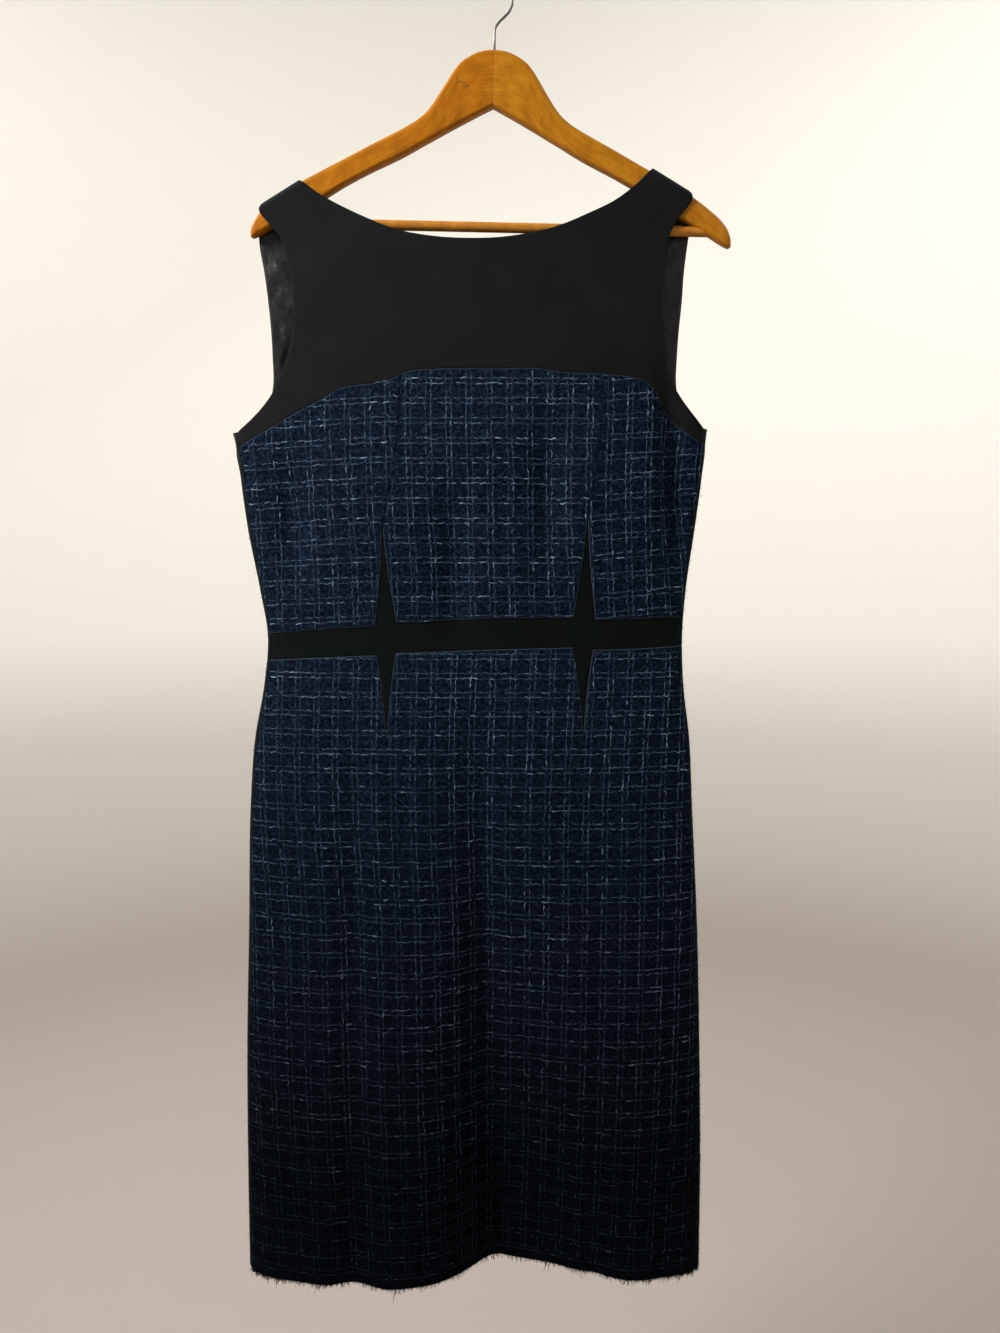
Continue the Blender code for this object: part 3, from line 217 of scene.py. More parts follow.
# How finely each stretch of cloth is meshed.
COLS_SIDE, COLS_MIDDLE = 32, 42
ROWS_YOKE, ROWS_PRINCESS, ROWS_SKIRT = 46, 20, 100
ROWS_UPPER_POINT, ROWS_BAND, ROWS_LOWER_POINT = 26, 8, 22
BACK_COLS_NECK, BACK_COLS_SKIRT = 34, 48
ROWS_BACK_ARMHOLE, ROWS_BACK_UNDERARM, ROWS_BACK_SIDE, ROWS_BACK_SKIRT = 40, 12, 46, 84
BAND_TALL, SKIRT_TALL = 0.028, 0.55  # about, to space their rows
STRAP_COLS = 12
STRAP_STEPS = (0.0004, 0.0012, 0.0022, 0.0034, 0.0048, 0.0066, 0.0090, 0.0120)
CORNER_REACH = 0.020
RELAX_SWEEPS = 2500
POINT_SHARES = (0, 0.03, 0.08, 0.18, 0.34, 0.5, 0.66, 0.82, 0.92, 0.97, 1)
EDGE_LOOPS = (0.00015, 0.0004, 0.0008, 0.0013)  # from a cut edge, to round it over

# The hanger.
HANGER_TILT = math.radians(1.2)  # its right end is the lower one
ARM_HALF_THICKNESS = 0.0060
ARM_ROUND = 0.0050  # round edge along the top
ARM_LOWER_ROUND = 0.0030
ARM_COLUMNS = ("x", "top", "bottom")
ARM_STATIONS = (
    (0.00015, -0.0648, -0.1134), (0.0070, -0.0652, -0.1168), (0.0140, -0.0668, -0.1204),
    (0.0225, -0.0706, -0.1248), (0.0310, -0.0765, -0.1294), (0.0375, -0.0845, -0.1329),
    (0.0430, -0.0930, -0.1359), (0.0480, -0.1008, -0.1387), (0.0540, -0.1100, -0.1420),
    (0.0605, -0.1184, -0.1455), (0.0690, -0.1259, -0.1503), (0.0790, -0.1320, -0.1559),
    (0.0950, -0.1403, -0.1638), (0.1110, -0.1485, -0.1714), (0.1350, -0.1610, -0.1842),
    (0.1550, -0.1714, -0.1965), (0.1730, -0.1810, -0.2066), (0.1900, -0.1915, -0.2159),
    (0.2010, -0.1994, -0.2219), (0.2100, -0.2066, -0.2272), (0.2160, -0.2133, -0.2303),
    (0.2195, -0.2200, -0.2316), (0.2212, -0.2258, -0.2306),
)
BAR_RADIUS = 0.0045
BAR_Z = -0.2176
BAR_HALF_LENGTH = 0.2060
FIT_GAP = 0.0003  # round the bar's ends and the hook's shank
WIRE_RADIUS = 0.0011
HOOK_INSIDE_RADIUS = 0.0148
HOOK_SWEEP = math.radians(205)  # from its rightmost point, over the top
HOOK_STEP = math.radians(12)
HOOK_SHANK = ((0.0, -0.0820), (0.0, -0.0500), (0.0006, -0.0453), (0.0034, -0.0407),
              (0.0082, -0.0359), (0.0128, -0.0309), (0.0152, -0.0257))

# The cloth's form: how folds spread and grow, and how it bends over the arms.
SIDE_FADE = 0.35  # folds die away towards the sides, where the cloth turns round
FOLD_TOP_SPREAD = 0.55
FOLD_GROWTH = 1.25
CAP_RADIUS = ARM_ROUND + 2 * FIT_GAP + CLOTH  # the cloth's bend over a hanger's arm
CAP_FLAT = ARM_HALF_THICKNESS - ARM_ROUND
CAP_START = 0.1 * SEAM_GAP
HANG_START = 0.0040  # how far down from the shoulder the cloth leaves the wood
HANG_LENGTH = 0.0750
STRAP_ROUND = 0.0110  # radius of a strap's outer corner

# Edges, and the hanger's finer points.
BAND_SUNK = -0.0007  # the tweed's folded edges stand over the waistband
YOKE_SUNK = -0.0002
CUT_LINE_STEP = 0.0007  # between the spots of a cut edge that distances are measured from
EDGE_REACH = 0.02  # distances from an edge are kept up to here
MITRE_EASE = 0.00012  # how far the mitre's edges are eased with sandpaper
ARM_SLICES, BAR_SLICES = 70, 60
TIP_ROUND = 0.0050  # at an arm's outer end
CRACK_HALF_WIDTH = 0.0008
CRACK_SUNK = 0.75  # share of that half width which lies in the wood
CRACKS = (  # (x, z) of hairline cracks in the left arm's varnish
    ((-0.0341, -0.0858), (-0.0333, -0.0879), (-0.0349, -0.0909), (-0.0344, -0.0941), (-0.0311, -0.0936),
     (-0.0284, -0.0949), (-0.0268, -0.0936), (-0.0257, -0.0920), (-0.0207, -0.0879)),
    ((-0.0311, -0.0977), (-0.0284, -0.0982), (-0.0246, -0.0964), (-0.0262, -0.0951)),
)
LINING_PUCKERS = (  # x, z, half width, half length, lean in radians, depth
    (-0.203, -0.254, 0.0050, 0.0040, 0.5, -0.0020), (-0.206, -0.272, 0.0020, 0.0060, -0.7, 0.0018),
    (-0.200, -0.290, 0.0016, 0.0090, 0.9, -0.0018), (-0.204, -0.307, 0.0014, 0.0070, 0.4, 0.0014),
    (-0.196, -0.330, 0.0022, 0.0160, -0.3, 0.0018), (-0.202, -0.345, 0.0015, 0.0080, 0.8, -0.0016),
    (-0.199, -0.368, 0.0018, 0.0130, 0.2, -0.0018), (-0.195, -0.388, 0.0020, 0.0080, -0.6, 0.0016),
    (0.170, -0.250, 0.0050, 0.0040, -0.4, -0.0020), (0.174, -0.268, 0.0018, 0.0070, 0.7, 0.0018),
    (0.174, -0.288, 0.0016, 0.0090, -0.9, -0.0018), (0.171, -0.304, 0.0014, 0.0070, -0.4, 0.0014),
    (0.172, -0.325, 0.0018, 0.0140, -0.7, -0.0018), (0.176, -0.345, 0.0016, 0.0090, 0.5, 0.0016),
    (0.176, -0.366, 0.0020, 0.0130, 0.3, 0.0018), (0.173, -0.386, 0.0018, 0.0080, -0.5, -0.0016),
)

# The tweed's check, in millimetres, and how its threads are made.
TWEED_REPEAT_ACROSS, TWEED_REPEAT_UP = 18.5, 18.0  # between the check's pairs of lines
TWEED_PAIR = 2.4  # from the middle of a pair to each of its lines
TWEED_YARN = 0.55  # half the width of a line's yarn
LIT_Z, DARK_Z = -0.60, -1.13  # the tweed keeps its own colour above one and is deepest below the other
HEM_SHADE = 0.15
LEANS = {"left": math.radians(2.5), "centre": 0.0, "right": math.radians(4.5)}  # slope of the level threads
PIVOTS = {"left": -0.105, "centre": 0.0, "right": 0.085}  # x about which they slope
PLAIN_HEM = 0.0085  # the raw edge has lost its pale yarns this far up
YARN_POINTS, LOOP_POINTS, FRINGE_POINTS, FUZZ_POINTS = 6, 5, 5, 3
# A float's length, radius and tone are drawn from a range, its crinkle about 0.
YARN = {"length": (0.0030, 0.0090), "radius": (0.00020, 0.00042), "tone": (0.05, 0.85), "crinkle": 0.00048}
SLUB = {"length": (0.0035, 0.0070), "radius": (0.00045, 0.00080), "tone": (0.5, 1.0), "crinkle": 0.00026}
SLUB_SHARE, DIP_SHARE = 0.06, 0.10  # of the floats that are slubs, and that end in a long dip
LONG_DIP, SHORT_DIP = (0.002, 0.006), (-0.0006, 0.0012)
YARN_DRIFT, YARN_STRAY = 0.00020, 0.0002  # off its line: in slow waves, and float by float
DRIFT_WAVES = (170, 410, 900)  # radians to the metre
YARN_SUNK, YARN_ARCH = -0.00012, 0.00018  # where a float goes under, and how high it arches
LOOPS_PER_AREA = 18500  # to the square metre
# Ranges that the loops and hairs are drawn from: lengths in metres, the turn in radians.
LOOP_TURN, LOOP_SIZE, LOOP_STRETCH = (2.0, 4.5), (0.0005, 0.0012), (0.5, 1.3)
LOOP_RISE, LOOP_RADIUS = (0.0001, 0.0005), (0.00020, 0.00040)
FRINGE_STEP, FRINGE_JITTER = 0.00038, 0.001  # in metres along the hem, in turns
FRINGE_UP, FRINGE_CURL, FUZZ_BEND = 0.0006, 0.00035, 0.0003
FRINGE_SPREAD, FUZZ_SPREAD = (0.45, 0.35), 0.55  # how far the threads lean, to a length of 1
FRINGE_LENGTH, FRINGE_RADIUS, FRINGE_ROOT = (0.0016, 0.0062), (0.00018, 0.00042), (0.0002, 0.0016)
LONG_FRINGE_SHARE, LONG_FRINGE = 0.03, 1.9  # so many are this many times longer
FUZZ_LENGTH, FUZZ_RADIUS, FUZZ_ROOT = (0.0008, 0.0028), (0.00007, 0.00022), 0.0003
SIDE_FUZZ = {  # first and last turn, number of hairs, seed
    "right_side_fuzz": (0.80, 0.97, 2600, 91),
    "left_side_fuzz": (-0.95, -0.85, 500, 92),
}
FUZZ_LOW, FUZZ_HIGH = -1.235, -0.45
FRINGE_SEED, SKIRT_SEED, BODICE_SEED_STEP = 77, 50, 10


# ---------------------------------------------------------------- the shape of the hanging cloth
def column(rows, names, name):
    return np.array([row[names.index(name)] for row in rows], float)


def smooth_step(t):
    t = np.clip(t, 0.0, 1.0)
    return t * t * (3 - 2 * t)


def spline(knots, values, at):
    """A cubic through the values, with the slope at each knot taken from its neighbours."""
    slopes = np.gradient(values, knots)
    i = np.clip(np.searchsorted(knots, at) - 1, 0, len(knots) - 2)
    step = knots[i + 1] - knots[i]
    t = np.clip((at - knots[i]) / step, 0.0, 1.0)
    return (
        values[i] * (1 + 2 * t) * (1 - t) ** 2
        + slopes[i] * step * t * (1 - t) ** 2
        + values[i + 1] * t * t * (3 - 2 * t)
        + slopes[i + 1] * step * t * t * (t - 1)
    )


def ring(z, name):
    knots = column(RINGS, RING_COLUMNS, "z")[::-1]
    return spline(knots, column(RINGS, RING_COLUMNS, name)[::-1], np.asarray(z, float))


def ring_middle(z):
    return (ring(z, "left") + ring(z, "right")) / 2


def ring_half_width(z):
    return (ring(z, "right") - ring(z, "left")) / 2


def shoulder_line(x):
    """(height of the shoulder seam over x, cosine of its slope)."""
    on_left = x < BACK_MIDDLE_X
    slopes = [(b[1] - a[1]) / (b[0] - a[0]) for a, b in (SHOULDER_LEFT, SHOULDER_RIGHT)]
    slope = np.where(on_left, slopes[0], slopes[1])
    start_x = np.where(on_left, SHOULDER_LEFT[1][0], SHOULDER_RIGHT[0][0])
    start_z = np.where(on_left, SHOULDER_LEFT[1][1], SHOULDER_RIGHT[0][1])
    return start_z + slope * (x - start_x), 1 / np.sqrt(1 + slope**2)


def fold_depth(folds, x, z):
    total = np.zeros(np.broadcast(x, z).shape)
    for row in folds:
        fold = dict(zip(FOLD_COLUMNS, row))
        t = np.clip((z - fold["z_top"]) / (fold["z_end"] - fold["z_top"]), 0, 1)
        middle = fold["x_top"] + (fold["x_end"] - fold["x_top"]) * t
        away = x - middle
        width = np.where(away < 0, fold["width_left"], fold["width_right"])
        if fold["grows"]:
            width = width * (FOLD_TOP_SPREAD + (1 - FOLD_TOP_SPREAD) * t)
            along = t**FOLD_GROWTH
        else:
            along = np.sin(math.pi * t) ** 2
        total += fold["depth"] * along * np.exp(-0.5 * (away / width) ** 2)
    return total


def cloth_point(turn, z):
    """The cloth's outer face at (turn, z), as an array of x, y, z."""
    turn, z = np.broadcast_arrays(np.asarray(turn, float), np.asarray(z, float))
    x = ring_middle(z) + ring_half_width(z) * np.sin(turn * math.pi / 2)
    facing = np.cos(turn * math.pi / 2)
    fullness = np.abs(facing) ** ROUNDNESS
    fade = np.clip(np.abs(facing) / SIDE_FADE, 0, 1)
    front = ring(z, "front_depth") * fullness - fold_depth(FRONT_FOLDS + FRONT_CREASES, x, z) * fade
    back = ring(z, "back_depth") * fullness - fold_depth(BACK_FOLDS + BACK_CREASES, x, z) * fade
    out = np.where(facing >= 0, front, back)
    top, cosine = shoulder_line(x)
    below = np.maximum((top - z) * cosine, 0.0)  # down the cloth from the shoulder seam
    turned = np.minimum(below, CAP_RADIUS)
    cap = np.sqrt(CAP_RADIUS**2 - (CAP_RADIUS - turned) ** 2)
    cap = cap + CAP_FLAT * np.clip(below / CAP_START, 0, 1)
    out = cap + (out - CAP_RADIUS - CAP_FLAT) * smooth_step((below - HANG_START) / HANG_LENGTH)
    return np.stack([x, np.where(facing >= 0, -out, out), z], axis=-1)


def turn_at(x, z, behind=False):
    """The turn of the cloth at x, on the front or behind."""
    share = np.clip((np.asarray(x) - ring_middle(z)) / ring_half_width(z), -1, 1)
    turn = np.arcsin(share) * 2 / math.pi
    return np.where(turn < 0, -2 - turn, 2 - turn) if behind else turn


def cloth_normal(turn, z):
    step_turn, step_z = 1e-4, 2e-5
    across = cloth_point(turn + step_turn, z) - cloth_point(turn - step_turn, z)
    down = cloth_point(turn, z - step_z) - cloth_point(turn, z + step_z)
    normal = np.cross(down, across)
    return normal / np.linalg.norm(normal, axis=-1, keepdims=True)


# ---------------------------------------------------------------- edges and patches of it
def spaced(count, length, start=True, end=True):
    """Shares of a line: even ones, and close ones by each end that is a cut edge of the cloth."""
    near = np.array(EDGE_LOOPS) / length
    even = np.linspace(0, 1, count + 1)[1:-1]
    return np.concatenate([[0], near if start else [], even, 1 - near[::-1] if end else [], [1]])


def distances(points):
    """How far along its line each point is."""
    return np.concatenate([[0], np.cumsum(np.hypot(*np.diff(points, axis=0).T))])


def rounded(points, steps=8):
    """More points along the same line, on a cubic that bends evenly through all of them."""
    points = np.array(points, float)
    lengths = distances(points)
    pieces = [np.linspace(a, b, steps, endpoint=False) for a, b in zip(lengths, lengths[1:])]
    at = np.append(np.concatenate(pieces), lengths[-1])
    return np.stack([spline(lengths, points[:, i], at) for i in (0, 1)], axis=1)


def sample(points, shares):
    """Points at these shares of the line's length."""
    points = rounded(points) if len(points) > 2 else np.array(points, float)
    lengths = distances(points)
    at = np.asarray(shares) * lengths[-1]
    return np.stack([np.interp(at, lengths, points[:, i]) for i in (0, 1)], axis=1)


def length_of(points):
    return distances(rounded(points))[-1]


def joined(*pieces):
    return np.concatenate([pieces[0]] + [piece[1:] for piece in pieces[1:]])


def to_turn(points, behind=False):
    points = np.asarray(points)
    return np.stack([turn_at(points[:, 0], points[:, 1], behind), points[:, 1]], axis=1)


def side_seam(side, z):
    """(turn, z) of the side seam at these heights, on the front half of the ring."""
    z = np.asarray(z, float)
    knots = column(SIDE_SEAMS, SIDE_SEAM_COLUMNS, "z")[::-1]
    inset = np.interp(z, knots, column(SIDE_SEAMS, SIDE_SEAM_COLUMNS, f"{side}_inset")[::-1])
    if side == "left":
        return np.stack([turn_at(ring(z, "left") + inset, z), z], axis=1)
    return np.stack([turn_at(ring(z, "right") - inset, z), z], axis=1)


def shares_along(line):
    """How far along a (turn, z) line each of its points is, from 0 to 1."""
    lengths = distances(line * (TURN_LENGTH, 1))
    return lengths / lengths[-1]


def patch(top, bottom, left, right):
    """A grid of (turn, z) between four edges. Top and bottom run left to right, the sides down."""
    rough_t = (shares_along(left) + shares_along(right))[:, None] / 2
    s = (1 - rough_t) * shares_along(top) + rough_t * shares_along(bottom)
    t = (1 - s) * shares_along(left)[:, None] + s * shares_along(right)[:, None]
    s, t = s[..., None], t[..., None]
    across = (1 - t) * top[None] + t * bottom[None]
    left_bend = left[:, None] - (1 - t) * top[0] - t * bottom[0]
    right_bend = right[:, None] - (1 - t) * top[-1] - t * bottom[-1]
    return across + (1 - s) * left_bend + s * right_bend


def relaxed(grid):
    """The grid with its inner points moved until its lines spread evenly and no cell folds over."""
    points = grid * (TURN_LENGTH, 1)
    for _ in range(RELAX_SWEEPS):
        left, right = points[1:-1, :-2], points[1:-1, 2:]
        above, below = points[:-2, 1:-1], points[2:, 1:-1]
        across, down = (right - left) / 2, (below - above) / 2
        skew = (across * down).sum(-1, keepdims=True)
        wide, tall = ((way**2).sum(-1, keepdims=True) for way in (across, down))
        twist = (points[2:, 2:] - points[2:, :-2] - points[:-2, 2:] + points[:-2, :-2]) / 4
        moved = (tall * (left + right) + wide * (above + below) - 2 * skew * twist) / (2 * (tall + wide))
        points[1:-1, 1:-1] = moved
    return points / (TURN_LENGTH, 1)


def patch_with_border(top, bottom, left, right, behind=False):
    """A patch whose first rows keep close to its top edge, given as (x, z), to bend over the arm."""
    lengths = distances(top)
    ahead, before = (
        np.stack([np.interp(lengths + reach, lengths, top[:, i]) for i in (0, 1)], axis=1)
        for reach in (CORNER_REACH, -CORNER_REACH)
    )
    along = before - ahead if behind else ahead - before
    inward = np.stack([along[:, 1], -along[:, 0]], axis=1)
    inward /= np.linalg.norm(inward, axis=1, keepdims=True)
    rows = []
    for i, step in enumerate((0.0, *STRAP_STEPS)):
        line = to_turn(top + inward * step, behind)
        line[0], line[-1] = left[i], right[i]
        rows.append(line)
    last = len(STRAP_STEPS)
    rest = relaxed(patch(rows[-1], bottom, left[last:], right[last:]))
    return np.concatenate([np.stack(rows[:-1]), rest])


def strap_shares(edge):
    return np.array(STRAP_STEPS) / length_of(edge)


def with_loops(grid):
    """The grid with close lines beside its four edges, where the cloth rounds over."""
    for _ in range(2):
        grid = np.swapaxes(grid, 0, 1)
        for edge, inner, place in ((0, 1, 1), (-1, -2, -1)):
            step = np.linalg.norm((grid[inner] - grid[edge]) * (TURN_LENGTH, 1), axis=-1)
            near = [grid[edge] + (grid[inner] - grid[edge]) * np.minimum(reach / step, 0.8)[:, None]
                    for reach in (EDGE_LOOPS if place == 1 else EDGE_LOOPS[::-1])]
            if step.mean() > 2 * EDGE_LOOPS[-1]:
                grid = np.insert(grid, [place] * len(near) if place == 1 else [len(grid) - 1] * len(near),
                                 near, axis=0)
    return grid


# ---------------------------------------------------------------- the flat cloth, for its pattern
def across_table():
    """How far round the ring each turn is from the middle of the front, for a table of heights."""
    heights = np.linspace(HEM_Z - 0.005, -0.140, 260)
    turns = np.linspace(-2, 2, 801)
    points = cloth_point(turns[None], heights[:, None])
    steps = np.linalg.norm(np.diff(points, axis=1), axis=-1)
    far = np.concatenate([np.zeros((len(heights), 1)), np.cumsum(steps, axis=1)], axis=1)
    return heights, turns, far - far[:, len(turns) // 2][:, None]


ACROSS = across_table()


def flat_place(turn, z):
    """(metres across from the middle of the front, metres up) on the cloth before it was sewn."""
    heights, turns, far = ACROSS
    row = np.interp(z, heights, np.arange(len(heights)))
    col = np.interp(turn, turns, np.arange(len(turns)))
    r = np.clip(row.astype(int), 0, len(heights) - 2)
    c = np.clip(col.astype(int), 0, len(turns) - 2)
    fr, fc = row - r, col - c
    across = (
        far[r, c] * (1 - fr) * (1 - fc) + far[r, c + 1] * (1 - fr) * fc
        + far[r + 1, c] * fr * (1 - fc) + far[r + 1, c + 1] * fr * fc
    )
    return np.stack([across, np.asarray(z, float)], axis=-1)


# ---------------------------------------------------------------- making pieces
def new_object(name, vertices, faces, material):
    mesh = bpy.data.meshes.new(name)
    mesh.from_pydata([tuple(v) for v in np.asarray(vertices).tolist()], [], faces)
    mesh.shade_smooth()
    obj = bpy.data.objects.new(name, mesh)
    bpy.context.scene.collection.objects.link(obj)
    mesh.materials.append(material)
    return obj


def give_map(mesh, name, spots):
    """Stores a place per vertex as a UV map, in metres."""
    layer = mesh.uv_layers.new(name=name)
    index = np.empty(len(mesh.loops), int)
    mesh.loops.foreach_get("vertex_index", index)
    layer.data.foreach_set("uv", np.asarray(spots, float)[index].ravel())


def give_value(mesh, name, values):
    layer = mesh.attributes.new(name, "FLOAT", "POINT")
    layer.data.foreach_set("value", np.asarray(values, float))


def open_edges(faces):
    found = {(a, b) for face in faces for a, b in zip(face, face[1:] + face[:1])}
    return [(a, b) for a, b in found if (b, a) not in found]


def merged(patches):
    """(turn, z) spots and cells of some patches, joined where they share a line."""
    index, spots, cells = {}, [], []
    for grid in patches:
        ids = np.empty(grid.shape[:2], int)
        for row, col in np.ndindex(*ids.shape):
            key = tuple(np.round(grid[row, col], 7))
            if key not in index:
                index[key] = len(spots)
                spots.append(grid[row, col])
            ids[row, col] = index[key]
        for row, col in np.ndindex(ids.shape[0] - 1, ids.shape[1] - 1):
            cell = (ids[row, col], ids[row + 1, col], ids[row + 1, col + 1], ids[row, col + 1])
            corners = tuple(dict.fromkeys(int(i) for i in cell))
            if len(corners) > 2:
                cells.append(corners)
    return np.array(spots), cells


def edge_distance(points, lines):
    """For each point, how far it is from the nearest of these lines."""
    samples = []
    for a, b in lines:
        count = max(1, int(np.linalg.norm(b - a) / CUT_LINE_STEP))
        samples.extend(a + (b - a) * i / count for i in range(count + 1))
    tree = KDTree(len(samples))
    for i, spot in enumerate(samples):
        tree.insert(spot, i)
    tree.balance()
    return np.array([tree.find(point)[2] for point in points])


CUT_EDGES = {}  # piece name to its cut edges, as lines in space


def cloth(name, patches, outside, inside, wall=CLOTH, lift=0.0, relief=None, near=(), lean=0.0,
          pivot=0.0):
    """A piece of cloth as a closed shell over the patches, its cut edges rounded over.

    lift stands it off the surface, relief adds to that point by point, and near names the pieces
    whose edges it shows a worn line beside.
    """
    spots, cells = merged(patches)
    normals = cloth_normal(spots[:, 0], spots[:, 1])
    surface = cloth_point(spots[:, 0], spots[:, 1])
    rim = open_edges(cells)
    lines = [(surface[a], surface[b]) for a, b in rim]
    CUT_EDGES[name] = lines
    away = edge_distance(surface, lines)
    half = wall / 2
    rounding = half - np.sqrt(np.maximum(half**2 - np.maximum(half - away, 0) ** 2, 0))
    rise = lift - rounding
    if relief is not None:
        rise = rise + relief(spots[:, 0], spots[:, 1], away)
    outer = surface + normals * rise[:, None]
    inner = outer - normals * (wall - 2 * rounding)[:, None]
    on_rim = np.zeros(len(spots), bool)
    on_rim[[a for a, b in rim]] = True
    on_rim[[b for a, b in rim]] = True
    place = np.arange(len(spots)) + len(spots)
    place[on_rim] = np.flatnonzero(on_rim)  # the two faces meet along the rim
    keep = np.flatnonzero(~on_rim)
    renumber = np.empty(2 * len(spots), int)
    renumber[: len(spots)] = np.arange(len(spots))
    renumber[len(spots) + keep] = len(spots) + np.arange(len(keep))
    faces = list(cells)
    faces += [tuple(int(renumber[place[i]]) for i in reversed(cell)) for cell in cells]
    obj = new_object(name, np.concatenate([outer, inner[keep]]), faces, outside)
    obj.data.materials.append(inside)
    back = np.zeros(len(faces), int)
    back[len(cells):] = 1
    obj.data.polygons.foreach_set("material_index", back)
    both = np.concatenate([np.arange(len(spots)), keep])
    give_map(obj.data, "flat cloth", sheared(flat_place(spots[:, 0], spots[:, 1]), -lean, pivot)[both])
    if near:
        beside = edge_distance(surface, [line for other in near for line in CUT_EDGES[other]])
    else:
        beside = np.full(len(spots), EDGE_REACH)
    give_value(obj.data, "beside_edge", np.minimum(beside, EDGE_REACH)[both] * 1000)  # in mm
    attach(obj, DRESS)
    return obj


# ---------------------------------------------------------------- the cut lines of the front
def seam_parts(parts):
    cols = {"left": COLS_SIDE, "middle": COLS_MIDDLE, "right": COLS_SIDE}
    return {side: to_turn(sample(line, spaced(cols[side], length_of(line)))) for side, line in parts.items()}


def side_end(side, line):
    """The line with its outer end brought onto the side seam."""
    end = 0 if side == "left" else -1
    line = line.copy()
    line[end] = side_seam(side, line[end, 1:2])[0]
    return line


def front_seams(parts):
    lines = seam_parts(parts)
    return {side: side_end(side, line) if side != "middle" else line for side, line in lines.items()}


def point_edge(base, apex, count, toward):
    """A long side of a waistband point, from its base to the notch's apex, curving in a little."""
    base, apex = np.array(base), np.array(apex)
    length = np.linalg.norm(apex - base)
    shares = np.append(spaced(count, length, end=False)[:-1] * POINT_END, [POINT_END, 1.0])[:, None]
    line = base + (apex - base) * shares
    line[:, 0] += toward * POINT_BEND * np.sin(math.pi * shares[:, 0])
    return to_turn(line)


def point_edges(side, up):
    """(left edge, right edge) of a point, each from its base to its tip."""
    band = BAND_TOP if up else BAND_BOTTOM
    apex = (UPPER_APEX if up else LOWER_APEX)[side]
    count = ROWS_UPPER_POINT if up else ROWS_LOWER_POINT
    if side == "left":
        bases = band["left"][-1], band["middle"][0]
    else:
        bases = band["middle"][-1], band["right"][0]
    return point_edge(bases[0], apex, count, 1), point_edge(bases[1], apex, count, -1)


def princess_seam(side, point_side):
    """The bodice seam from the yoke to the point's tip, then down one edge of that point."""
    top = YOKE_SEAM_MIDDLE[0] if side == "left" else YOKE_SEAM_MIDDLE[-1]
    line = (top, PRINCESS_BEND[side], UPPER_APEX[side])
    upper = to_turn(sample(line, spaced(ROWS_PRINCESS, length_of(line), end=False)))
    return joined(upper, point_edges(side, True)[point_side][::-1])


def yoke_patch(seam):
    bottom = joined(seam["left"], seam["middle"], seam["right"])
    neck = np.concatenate([strap_shares(NECKLINE_FRONT), 1 - strap_shares(NECKLINE_FRONT)[::-1]])
    columns = len(bottom) - 1 - 2 * STRAP_COLS - 2 * len(STRAP_STEPS)
    inner = len(STRAP_STEPS)
    middle = np.linspace(neck[inner - 1], neck[inner], columns + 1)[1:-1]
    neck = np.concatenate([[0], neck[:inner], middle, neck[inner:], [1]])
    strap = np.linspace(0, 1, STRAP_COLS + 1)
    top = joined(sample(SHOULDER_LEFT, strap), sample(NECKLINE_FRONT, neck), sample(SHOULDER_RIGHT, strap))
    sides = []
    for side, edge in (("left", ARMHOLE_LEFT), ("right", ARMHOLE_RIGHT)):
        end = seam[side][0 if side == "left" else -1]
        steps = strap_shares(edge)
        rest = np.linspace(steps[-1], 1, ROWS_YOKE + 1)[1:]
        line = to_turn(sample(edge, np.concatenate([[0], steps, rest])))
        line[-1] = side_seam(side, line[-1:, 1])[0]
        below = np.linspace(line[-1], end, 6)[1:]
        sides.append(np.concatenate([line, below]))
    return patch_with_border(top, bottom, *sides)


def bodice_patches(seam, band):
    inner = {side: princess_seam(side, 1 if side == "left" else 0) for side in ("left", "right")}
    outer = {side: princess_seam(side, 0 if side == "left" else 1) for side in ("left", "right")}
    found = {"centre": patch(seam["middle"], band["middle"], inner["left"], inner["right"])}
    for side in ("left", "right"):
        end = 0 if side == "left" else -1
        shares = shares_along(outer[side])
        edge = side_seam(side, seam[side][end, 1] + (band[side][end, 1] - seam[side][end, 1]) * shares)
        sides = (edge, outer[side]) if side == "left" else (outer[side], edge)
        found[side] = patch(seam[side], band[side], *sides)
    return found


def waistband_patches(top, bottom):
    shares = np.array(POINT_SHARES)[:, None]
    lines = []
    for band in (top, bottom):
        line = band["left"]
        for gap_from, gap_to in (("left", "middle"), ("middle", "right")):
            start, end = band[gap_from][-1], band[gap_to][0]
            line = joined(line, start + (end - start) * shares, band[gap_to])
        lines.append(line)
    rows = spaced(ROWS_BAND, BAND_TALL)[:, None, None]
    patches = [lines[0] + (lines[1] - lines[0]) * rows]
    for up in (True, False):
        for side in ("left", "right"):
            left, right = point_edges(side, up)
            grid = left[:-1, None] + (right[:-1, None] - left[:-1, None]) * shares
            patches.append(grid[::-1] if up else grid)
    return patches


